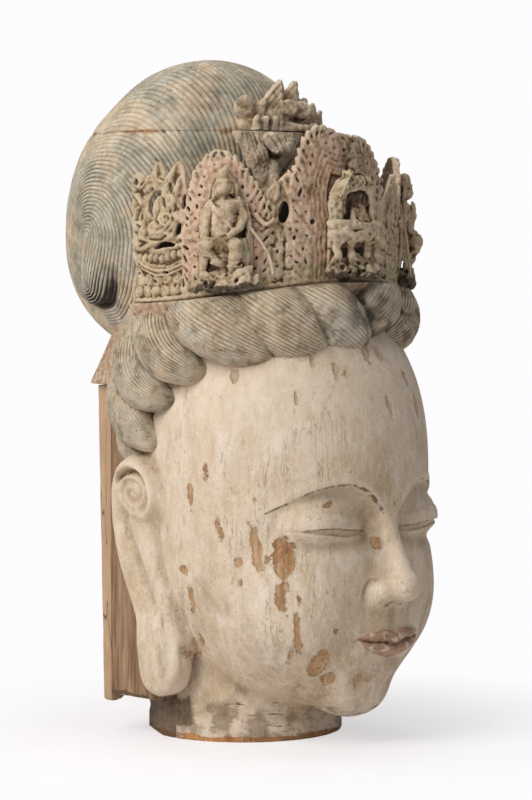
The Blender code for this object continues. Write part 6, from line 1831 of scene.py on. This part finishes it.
def crown_material():
    p = Paint("worn_crown_paint")
    cav, pink, pale, dark = (p.attr(k) for k in ("cav", "pink", "pale", "dark"))
    big, mid = p.noise(46, 3, 0.5, off=3), p.noise(11, 4, 0.62, off=6, dist=0.4)
    small, tiny = p.noise(2.8, 4, 0.68, off=8), p.noise(0.9, 2, 0.6, off=11)
    v = p.add(p.add(p.mul(big, 0.30), p.mul(mid, 0.44)), p.mul(small, 0.26))
    c = p.ramp(v, [(0.34, srgb(132, 110, 80)), (0.46, srgb(172, 148, 114)), (0.56, srgb(194, 172, 140)), (0.67, srgb(212, 195, 168))])
    green = p.step(p.noise(17, 4, 0.62, off=15), 0.52, 0.64)
    c = p.mix(p.mul(green, 0.48), c, srgb(146, 146, 116))
    pk = p.ramp(v, [(0.34, srgb(150, 112, 86)), (0.46, srgb(190, 154, 128)), (0.56, srgb(208, 178, 154)), (0.67, srgb(222, 202, 182))])
    c = p.mix(p.mul(p.step(p.add(pink, p.mul(p.add(mid, -0.5), 0.9)), 0.25, 0.75), 0.92), c, pk)
    c = p.mix(p.mul(p.step(p.add(pale, p.mul(p.add(mid, -0.5), 0.8)), 0.35, 0.75), 0.85), c, p.ramp(p.add(p.mul(small, 0.5), p.mul(mid, 0.5)), [(0.36, srgb(176, 150, 120)), (0.50, srgb(206, 186, 160)), (0.64, srgb(228, 212, 192))]))
    ochre = p.mul(p.step(p.noise(9, 4, 0.7, off=19), 0.60, 0.66), p.step(p.noise(40, 2, 0.5, off=22), 0.46, 0.6))
    c = p.mix(p.mul(ochre, 0.8), c, srgb(178, 118, 62))
    # dirt and painted shade in every hollow, near black in the deepest; whitish ground on the rubbed edges
    k = p.add(cav, p.mul(p.add(small, -0.5), 0.7))
    c = p.mix(p.mul(p.step(k, 0.0, 0.70), 0.66), c, p.ramp(mid, [(0.35, srgb(98, 77, 52)), (0.65, srgb(146, 120, 88))]))
    c = p.mix(p.mul(p.step(k, 0.52, 1.05), 0.76), c, srgb(44, 32, 21))
    c = p.mix(p.mul(p.step(k, -0.30, -0.85), 0.42), c, srgb(220, 206, 184))
    grime = p.step(p.noise(13, 5, 0.7, off=33), 0.50, 0.66)
    c = p.mix(p.mul(grime, 0.42), c, srgb(112, 92, 64))
    buff = p.step(p.noise(6.5, 5, 0.72, off=35), 0.56, 0.66)
    c = p.mix(p.mul(buff, 0.40), c, srgb(216, 198, 172))
    # painted shade, near black: behind the plate, under the figures' seats, in niches, gaps and the bud's throat; also
    # dark joint lines and dark brown on parts of the figures
    c = p.mix(p.mul(p.step(p.add(dark, p.mul(p.add(small, -0.5), 0.4)), 0.3, 0.8), 0.85), c, srgb(52, 38, 26))
    spk = p.step(p.noise(1.9, 4, 0.7, off=26), 0.60, 0.68)
    c = p.mix(p.mul(spk, 0.5), c, srgb(96, 72, 48))
    p.height(small, 0.5)
    p.height(tiny, 0.25)
    p.height(p.noise(5.0, 5, 0.65, off=29), 0.6)
    r = p.step(v, 0.3, 0.7, 0.88, 0.74)
    return p.done(c, r, 0.9, 0.22)


def plank_material():
    p = Paint("old_plank_wood")
    c, g = wood_colour(p, srgb(108, 82, 58), srgb(170, 143, 113), srgb(216, 192, 162), 7)
    edge = p.attr("edge")
    c = p.mix(p.mul(p.step(p.noise(30, 4, 0.6, (1, 1, 3), off=12), 0.50, 0.66), 0.5), c, srgb(110, 82, 60))
    fine = p.noise(0.9, 5, 0.65, (1, 1, 26), 0.1, 17)
    c = p.mix(p.mul(p.step(fine, 0.52, 0.64), 0.75), c, srgb(64, 46, 32))
    c = p.mix(p.mul(p.step(p.noise(3.4, 5, 0.7, (1, 1, 9), 0.2, 43), 0.54, 0.64), 0.5), c, srgb(196, 174, 150))
    rays = p.noise(1.4, 3, 0.6, (1, 1, 7), 0.0, 23)
    c = p.mix(p.mul(p.step(rays, 0.62, 0.70), 0.35), c, srgb(196, 172, 146))
    c = p.mix(p.mul(p.step(p.noise(42, 4, 0.6, (1, 1, 2), off=37), 0.48, 0.66), 0.45), c, srgb(150, 138, 122))
    c = p.mix(p.mul(p.step(p.add(edge, p.mul(p.add(p.noise(5, 4, 0.6, off=27), -0.5), 1.0)), 0.4, 0.8), 0.7), c, srgb(192, 158, 126))
    split = p.step(p.math("ABSOLUTE", p.add(p.noise(16, 3, 0.5, (1, 1, 14), 0.1, 33), -0.52)), 0.006, 0.0)
    c = p.mix(p.mul(split, 0.85), c, srgb(40, 26, 16))
    p.height(g, 1.1)
    p.height(fine, 0.5)
    p.height(split, -1.4)
    return p.done(c, p.step(g, 0.3, 0.7, 0.86, 0.66), 0.9, 0.3)


# -------------------------------------------------------------------- pieces
def rough_out(P, N, coarse, fine, seed):
    """small unevenness of carved and worn wood, in mm"""
    return P + N * (coarse * fbm(P, 8, 2, seed) + fine * fbm(P, 2.4, 2, seed + 5))[:, None]


def build_head(mat):
    h = 1.35
    F, lo = grid_eval(bare_block, (-150, -222, -4), (150, 104, 412), h)
    P, Q = biggest(*surface_nets(F, lo, h))
    P = project(bare_block, P, 1, 0.6)
    N = vertex_normals(P, Q)
    wob = np.stack([noise3(P, 9, 51), noise3(P, 9, 52), noise3(P, 13, 53)], 1) * 2.0
    loss = blob_field(P + wob, LOSSES) + 1.6 * fbm(P, 4.5, 2, 57)
    z = P[:, 2]
    off = -0.65 * sstep(-0.3, 0.5, loss) + 0.16 * fbm(P, (14, 14, 22), 2, 59)
    # long upright tool marks and shrinkage on the bare back
    back = sstep(2, 9, P[:, 1]) * (np.abs(N[:, 1]) > 0.6)
    off = off + back * 0.5 * fbm(P, (2.2, 2.2, 40), 2, 66)
    off = off * sstep(0.0, 2.0, z) - 1.1 * sstep(4.5, 0.5, z) * np.clip(fbm(P, 9, 2, 68) + 0.1, 0, 1)
    P = P + N * off[:, None]
    P[:, 2] = np.where(z < 0.7, 0.0, np.maximum(P[:, 2], 0.0))
    P[:, 2] = np.where((P[:, 1] > BACK_Y + 0.3) & (P[:, 2] > 306), np.maximum(P[:, 2], 313.0), P[:, 2])
    P[:, 1] = np.where(P[:, 2] < 312.9, np.minimum(P[:, 1], BACK_Y), P[:, 1])
    V, T = thinned(P, Q, 196000)
    N = vertex_normals(V, T)
    return piece("head_carving", V, T, mat, "head", skin_fields(V, N, T), 50)


def carry(V0, F0, V):
    """fields of the nearest old vertex"""
    from mathutils.kdtree import KDTree
    kd = KDTree(len(V0))
    for i, p in enumerate(V0.tolist()):
        kd.insert(p, i)
    kd.balance()
    return F0[[kd.find(p)[1] for p in V.tolist()]]


def build_chignon(mat):
    V, T, F = chignon_skin()
    N = vertex_normals(V, T)
    # ragged seam at the level joint, worn flat beside it
    seam = gauss(V[:, 2] - JOINT_Z + 0.5 * fbm(V, 12, 2, 71), 1.1)
    chip = np.clip(fbm(V, 10, 3, 73) * 2.2, 0, 1) * gauss(V[:, 2] - JOINT_Z, 4.5)
    V = V - N * (0.9 * seam + 1.3 * chip + 0.12 * fbm(V, 3, 2, 75))[:, None]
    wear = np.clip(0.5 + fbm(V, 30, 2, 77), 0, 1)
    fill = np.clip(1.25 * gauss(V[:, 2] - JOINT_Z - 0.8 * fbm(V, 9, 2, 78), 2.6) * (0.55 + 0.9 * noise3(V, 13, 76)), 0, 1)
    deep = np.maximum(F[:, 1], 0.75 * seam * (0.5 + 0.5 * noise3(V, 9, 79)))
    lines = F[:, 0] * np.clip(0.84 + 0.55 * fbm(V, 18, 2, 74), 0.35, 1.15) * (1 - 0.16 * sstep(480, 560, V[:, 2]))
    # painted shade: nearly black where the crown hides it
    th = np.degrees(np.arctan2(-V[:, 0], -(V[:, 1] - AX_Y)))
    t = V[:, 2] - base_line(th)
    top = np.interp(np.abs(th), (0, 18, 30, 35, 42, 56, 68, 76, 97), (118, 124, 84, 76, 86, 116, 100, 108, 100))
    soot_and_shade = sstep(99, 95, np.abs(th)) * sstep(top, top - 10, t + 2.5 * fbm(V, 9, 2, 72)) * (np.hypot(V[:, 0], V[:, 1] - AX_Y) < 129)
    deep = np.maximum(deep, 0.82 * soot_and_shade)
    F = np.stack([lines, deep, wear, fill], 1)
    for name, above, level, node, slot in (("hair_chignon_lower", False, JOINT_Z, "head", "painted_gesso_wood"),
                                           ("hair_chignon_upper", True, JOINT_Z + 0.3, "chignon_top", "painted_hair_wood")):
        V1, T1 = cut_level(V, T, level, above)
        G = carry(V, F, V1)
        piece(name, V1, T1, mat, node, dict(groove=G[:, 0], deep=G[:, 1], wear=G[:, 2], fill=G[:, 3]), 60)


ROLL = ("front_a", "front_b", "front_c", "front_m", "front_d", "front_e", "side_a", "side_b", "side_c", "nape",
        "side_a_m", "side_b_m", "side_c_m", "nape_m")


def build_roll(mat):
    V, T, g, d, seam = roll_skin(ROLL)
    N = vertex_normals(V, T)
    worn = np.clip(fbm(V, 24, 3, 81) * 2.0 + 0.1, 0, 1)
    joint = sstep(5.5, 0.8, seam)
    V = V + N * (0.7 * fbm(V, 13, 2, 83) - 0.6 * worn * (1 - g) + 0.7 * worn * g + 0.20 * fbm(V, 3.2, 2, 85) + 1.0 * joint * sstep(0.0, 0.35, 1 - d))[:, None]
    th = np.degrees(np.arctan2(-V[:, 0], -(V[:, 1] - AX_Y)))
    V[:, 2] = np.minimum(V[:, 2], base_line(th) - 1.4)
    V[:, 1] = np.minimum(V[:, 1], BACK_Y - 0.5)
    tip = np.clip(d, 0, 1)
    # painted shade: dark where two locks meet and at the locks' ends and backs, which are browned too; dark patches
    # over the front where x is above -20
    piece("hair_roll", V, T, mat, "head", dict(groove=g * (1.0 - 0.45 * worn), deep=np.clip(0.45 * tip + 0.60 * joint + 0.62 * np.clip(0.25 + 2.2 * fbm(V, (15, 15, 11), 3, 89), 0, 1) * sstep(-70, -120, V[:, 1]) * sstep(-60, -20, V[:, 0]), 0, 1), wear=worn, fill=np.clip(0.9 * tip * (0.6 + 0.8 * noise3(V, 9, 88)), 0, 1)), 60)


def crown_fields(V, T, ring=True):
    N = vertex_normals(V, T)
    near, far = hollows(V, T, N, 4), hollows(V, T, N, 22)
    near = smooth_field(near, T, 1)
    cav = np.clip(near / 0.17, -1.2, 1.3) * 0.38 + np.clip(far / 0.85, -1.2, 1.4) * 0.52
    th = np.arctan2(-V[:, 0], -(V[:, 1] - AX_Y))
    s, t = th * R0, V[:, 2] - base_line(np.degrees(th))
    w = np.hypot(V[:, 0], V[:, 1] - AX_Y) - R0 - 0.035 * t + FLAT * gauss(th / np.radians(31), 1)
    return N, cav, s, t, w


def build_crown(mat):
    cv = crown(0.72, figures=False)
    P, Q = biggest(*surface_nets(cv.F, cv.lo, cv.h))
    P, Q = bend(P), Q[:, ::-1]
    P = rough_out(P, vertex_normals(P, Q), 0.42, 0.30, 91)
    P[:, 2] = np.maximum(P[:, 2], base_line(np.degrees(np.arctan2(-P[:, 0], -(P[:, 1] - AX_Y)))) - 0.4)
    V, T = thinned(P, Q, 190000)
    N, cav, s, t, w = crown_fields(V, T)
    pink = np.zeros(len(V))
    for th0, half, t1 in ((56, 18, 124), (-56, 18, 124), (8, 26, 136)):
        q = np.maximum(np.abs(s / DEG - th0) / half, (t - 20) / (t1 - 20))
        pink = np.maximum(pink, sstep(1.02, 0.86, q) * sstep(8, 26, t))
    # painted shade on the plate's back: dark over its back part, near black on faces that turn inward
    inner = w < -2.4
    dark = np.where(inner & (t > 6), 0.45, 0.0) + 0.5 * sstep(-2.2, -4.5, w) * (N[:, 1] * V[:, 1] < 0)
    piece("crown_openwork", V, T, mat, "crown", dict(cav=cav, pink=pink * 0.9, pale=np.zeros(len(V)), dark=dark), 50)
    cv = crown(0.7, plate=False)
    P, Q = surface_nets(cv.F, cv.lo, cv.h)
    for name, s0 in (("crown_figure_a", 54.6), ("crown_figure_b", B_AT), ("crown_figure_c", -54.6)):
        keep = np.abs(P[Q].mean(1)[:, 0] - s0 * DEG) < 60
        used = np.unique(Q[keep])
        where = -np.ones(len(P), np.int64)
        where[used] = np.arange(len(used))
        P1, Q1 = biggest(P[used], where[Q[keep]])
        P1, Q1 = bend(P1), Q1[:, ::-1]
        N1 = vertex_normals(P1, Q1)
        rough = 1.55 if s0 == B_AT else 1.15
        P1 = P1 + N1 * (rough * (1.1 * fbm(P1, 6.5, 2, 93) + 0.45 * fbm(P1, 2.2, 2, 98)))[:, None]
        V, T = thinned(P1, Q1, 44000)
        N, cav, s, t, w = crown_fields(V, T)
        a = s - (s0 - (2.2 if s0 == B_AT else 0)) * DEG
        pale = 0.58 * sstep(12, 8, np.abs(a)) * sstep(44, 54, t) * sstep(88, 80, t) * (w > 9) + 0.6 * sstep(-2, -8, a) * sstep(24, 18, t)
        # painted shade on the figures: darker the further back a part lies, near black under their seats
        dark = sstep(13, 4, w) * 0.34 * (t > 20) + sstep(20, 12, t) * sstep(0.3, -0.6, N[:, 2]) * 0.9
        if s0 == B_AT:
            pale = 0.5 * sstep(30, 36, t) * sstep(54, 46, t) * (w > 15) + 0.4 * sstep(76, 80, t) * sstep(94, 88, t) * (w > 11)
            # the middle figure: painted shade in its niche and in the gap over its seat; its head dark brown
            dark = dark + 0.8 * sstep(12, 9, np.abs(a)) * sstep(46, 52, t) * sstep(82, 76, t) * sstep(15, 12, w) + 0.6 * sstep(94, 97, t) + 0.9 * gauss(t - 26, 3.5) * sstep(18, 14, w)
        # a dark brown side to each seat; painted shade between the knees of the two outer figures
        dark = dark + 0.5 * sstep(0, 6, a) * sstep(22, 16, t) + (0.5 if s0 != B_AT else 0.0) * sstep(9, 4, np.abs(a)) * gauss(t - 34, 6) * sstep(17, 13, w)
        blush = 0.15 + 0.4 * sstep(13, 9, np.abs(a)) * sstep(50, 58, t) * sstep(84, 78, t)
        piece(name, V, T, mat, "crown", dict(cav=cav, pink=blush, pale=pale, dark=np.clip(dark, 0, 1)), 50)


def build_crest(mat):
    for name, fn, lo, hi, node, slot, cnt in (
            ("crest", lambda x, y, z: np.maximum(crest_fine(x, y, z), JOINT_Z + 0.3 - z), (-62, -68, 534), (76, -8, 588), "chignon_top", "painted_hair_wood", 56000),
            ("stem", lambda x, y, z: np.maximum(stem_fine(x, y, z), z - JOINT_Z), (-56, -72, 460), (54, -20, 542), "head", "painted_gesso_wood", 52000)):
        F, l = grid_eval(fn, lo, hi, 0.8)
        P, Q = biggest(*surface_nets(F, l, 0.8))
        P = rough_out(P, vertex_normals(P, Q), 1.25, 0.5, 95)
        P[:, 2] = np.maximum(P[:, 2], JOINT_Z + 0.3) if name == "crest" else np.minimum(P[:, 2], JOINT_Z)
        V, T = thinned(P, Q, cnt)
        N, cav, s, t, w = crown_fields(V, T)
        z = V[:, 2]
        pale = 0.35 * sstep(553, 556, z) * sstep(567, 563, z) * sstep(-1, 2, V[:, 0]) * sstep(33, 30, V[:, 0]) * (V[:, 1] < -49) + np.where(z < 538, 0.62, 0.56) + 0.25 * fbm(V, 11, 2, 96) - 0.5 * sstep(-18, -26, V[:, 0]) * (z > 538) + 0.4 * sstep(-12, -6, V[:, 0]) * sstep(14, 8, V[:, 0]) * (z > 508) * (z < 538)
        # a dark line along the joint, and painted shade, near black, in the throat under the bud
        dark = 0.9 * gauss(z - 538.2, 1.2) + 0.9 * np.exp(-((V[:, 0] + 18) / 8) ** 2 - ((z - 514.5) / 3.6) ** 2)
        piece(name + "_carving", V, T, mat, node, dict(cav=cav * 0.8 - 0.12, pink=0.42 + 0 * z, pale=pale, dark=np.clip(dark, 0, 1)), 50)


def build_board(mat):
    b = BOARD

    def f(x, y, z):
        P = np.stack([x, y, z], -1).reshape(-1, 3)
        grain = (0.45 * fbm(P, (2.6, 2.6, 60), 3, 5) + 0.5 * fbm(P, (14, 14, 90), 2, 9)).reshape(np.shape(x))
        foot = b["foot"] + 2.2 * np.sin(x * 0.21) + 1.6 * np.sin(x * 0.083 + 1.0) + 1.2 * noise3(P * [1, 0, 0], 3.5, 12).reshape(np.shape(x))
        back = b["back"] + b["lean"] * (z - b["foot"]) / (b["top"] - b["foot"]) - 0.5 + grain
        d = np.maximum(np.abs(x) - b["half"] + 0.5 + 0.5 * grain, np.maximum(foot - z, z - b["top"] + 0.4))
        return smax(d, np.maximum(b["front"] - y, y - back), 1.2)
    F, lo = grid_eval(f, (-110, 62, 22), (110, 88, 317), 1.7)
    P, Q = biggest(*surface_nets(F, lo, 1.7))
    P = project(f, P, 1, 0.6)
    P[:, 1] = np.clip(P[:, 1], b["front"], 83.5)
    P[:, 0] = np.clip(P[:, 0], -b["half"], b["half"])
    P[:, 2] = np.clip(P[:, 2], 27.5, b["top"])
    V, T = thinned(P, Q, 60000)
    edge = np.clip(np.maximum(sstep(101, 104.5, np.abs(V[:, 0])), sstep(36, 31, V[:, 2])), 0, 1)
    piece("back_plank", V, T, mat, "back_board", dict(edge=edge), 40)


skin = skin_material()
build_head(skin)
build_chignon(hair_material("worn_chignon_paint", 0.75, 0.75, 11, 0.30))
build_roll(hair_material("worn_roll_paint", 0.9, 0.35, 47, 0.66))
carved = crown_material()
build_crown(carved)
build_crest(carved)
build_board(plank_material())


# ------------------------------------------------------- floor, light, camera
def floor_material():
    """pale floor with painted light: for the camera it glows, lightening its shadows near the head and turning white
    away from it
    """
    p = Paint("pale_floor")
    v = p.noise(90, 3, 0.5)
    c = p.ramp(v, [(0.35, srgb(238, 234, 235)), (0.65, srgb(244, 240, 241))])
    p.height(p.noise(3, 3, 0.5), 0.05)
    m = p.done(c, p.step(v, 0.3, 0.7, 0.62, 0.70), 0.4, 0.3)
    far = p.node("ShaderNodeVectorMath", operation="LENGTH")
    p.t.links.new(p.mm, far.inputs[0])
    # painted light: an even glow near the head that blends into a white glow further out, seen by camera rays only
    near = p.node("ShaderNodeEmission")
    near.inputs["Color"].default_value = (0.985, 0.96, 0.965, 1.0)
    near.inputs["Strength"].default_value = 0.24
    white = p.node("ShaderNodeEmission")
    white.inputs["Color"].default_value = (0.985, 0.975, 0.99, 1.0)
    white.inputs["Strength"].default_value = 1.0
    both = p.node("ShaderNodeAddShader")
    p.t.links.new(p.bsdf.outputs[0], both.inputs[0])
    p.t.links.new(near.outputs[0], both.inputs[1])
    blend = p.node("ShaderNodeMixShader")
    p.t.links.new(p.step(far.outputs["Value"], 105.0, 430.0, 0.42, 1.0), blend.inputs[0])
    p.t.links.new(both.outputs[0], blend.inputs[1])
    p.t.links.new(white.outputs[0], blend.inputs[2])
    ray = p.node("ShaderNodeLightPath")
    gate = p.node("ShaderNodeMixShader")
    p.t.links.new(ray.outputs["Is Camera Ray"], gate.inputs[0])
    p.t.links.new(p.bsdf.outputs[0], gate.inputs[1])
    p.t.links.new(blend.outputs[0], gate.inputs[2])
    p.t.links.new(gate.outputs[0], p.out.inputs[0])
    return m


me = bpy.data.meshes.new("floor")
ring = [(14 * math.cos(a), 14 * math.sin(a), 0.0) for a in np.linspace(0, 2 * math.pi, 97)[:-1]]
me.from_pydata(ring, [], [list(range(96))])
me.materials.append(floor_material())
floor = bpy.data.objects.new("floor", me)
bpy.context.scene.collection.objects.link(floor)

AIM = Vector((0.0, -0.03, 0.31))
A = math.radians(-46.0)
BACK = Vector((math.sin(A), -math.cos(A), 0.0))
RIGHT = Vector((math.cos(A), math.sin(A), 0.0))


def lamp(name, right, up, back, size, power, colour):
    d = bpy.data.lights.new(name, "AREA")
    d.shape = "RECTANGLE"
    d.size, d.size_y = size
    d.energy = power
    d.color = colour
    o = bpy.data.objects.new(name, d)
    o.location = AIM + RIGHT * right + BACK * back + Vector((0, 0, up))
    o.rotation_euler = (AIM - o.location).to_track_quat("-Z", "Y").to_euler()
    bpy.context.scene.collection.objects.link(o)


lamp("key", -1.45, 1.4, 1.5, (1.6, 1.6), 49.5, (1.0, 0.98, 0.95))
lamp("fill", 1.9, 0.6, 1.5, (1.4, 1.4), 1, (0.97, 0.985, 1.0))
lamp("top", -0.1, 2.2, -0.3, (1.6, 1.2), 13, (1.0, 0.99, 0.98))

world = bpy.data.worlds.new("studio")
bpy.context.scene.world = world
world.use_nodes = True
wt = world.node_tree
wt.nodes.clear()
wo = wt.nodes.new("ShaderNodeOutputWorld")
soft = wt.nodes.new("ShaderNodeBackground")
soft.inputs["Color"].default_value = (0.96, 0.975, 1.0, 1.0)
soft.inputs["Strength"].default_value = 0.265
seen = wt.nodes.new("ShaderNodeBackground")
seen.inputs["Color"].default_value = (0.985, 0.975, 0.99, 1.0)
seen.inputs["Strength"].default_value = 1.0
lp = wt.nodes.new("ShaderNodeLightPath")
ms = wt.nodes.new("ShaderNodeMixShader")
wt.links.new(lp.outputs["Is Camera Ray"], ms.inputs[0])
wt.links.new(soft.outputs[0], ms.inputs[1])
wt.links.new(seen.outputs[0], ms.inputs[2])
wt.links.new(ms.outputs[0], wo.inputs[0])

# eye point, 2.5 m off and a little above the middle
cd = bpy.data.cameras.new("camera")
cd.sensor_width = 36.0
cd.lens = 124.29
cam = bpy.data.objects.new("camera", cd)
cam.location = (-1.7851, -1.7503, 0.42)
pitch = math.radians(2.805)
look = -BACK * math.cos(pitch) - Vector((0, 0, 1)) * math.sin(pitch)
cam.rotation_euler = look.to_track_quat("-Z", "Y").to_euler()
bpy.context.scene.collection.objects.link(cam)
bpy.context.scene.camera = cam
bpy.context.scene.view_settings.view_transform = "Standard"
bpy.context.scene.view_settings.look = "None"
bpy.context.scene.view_settings.exposure = 0.0
bpy.context.scene.view_settings.gamma = 1.0

bpy.context.view_layer.update()
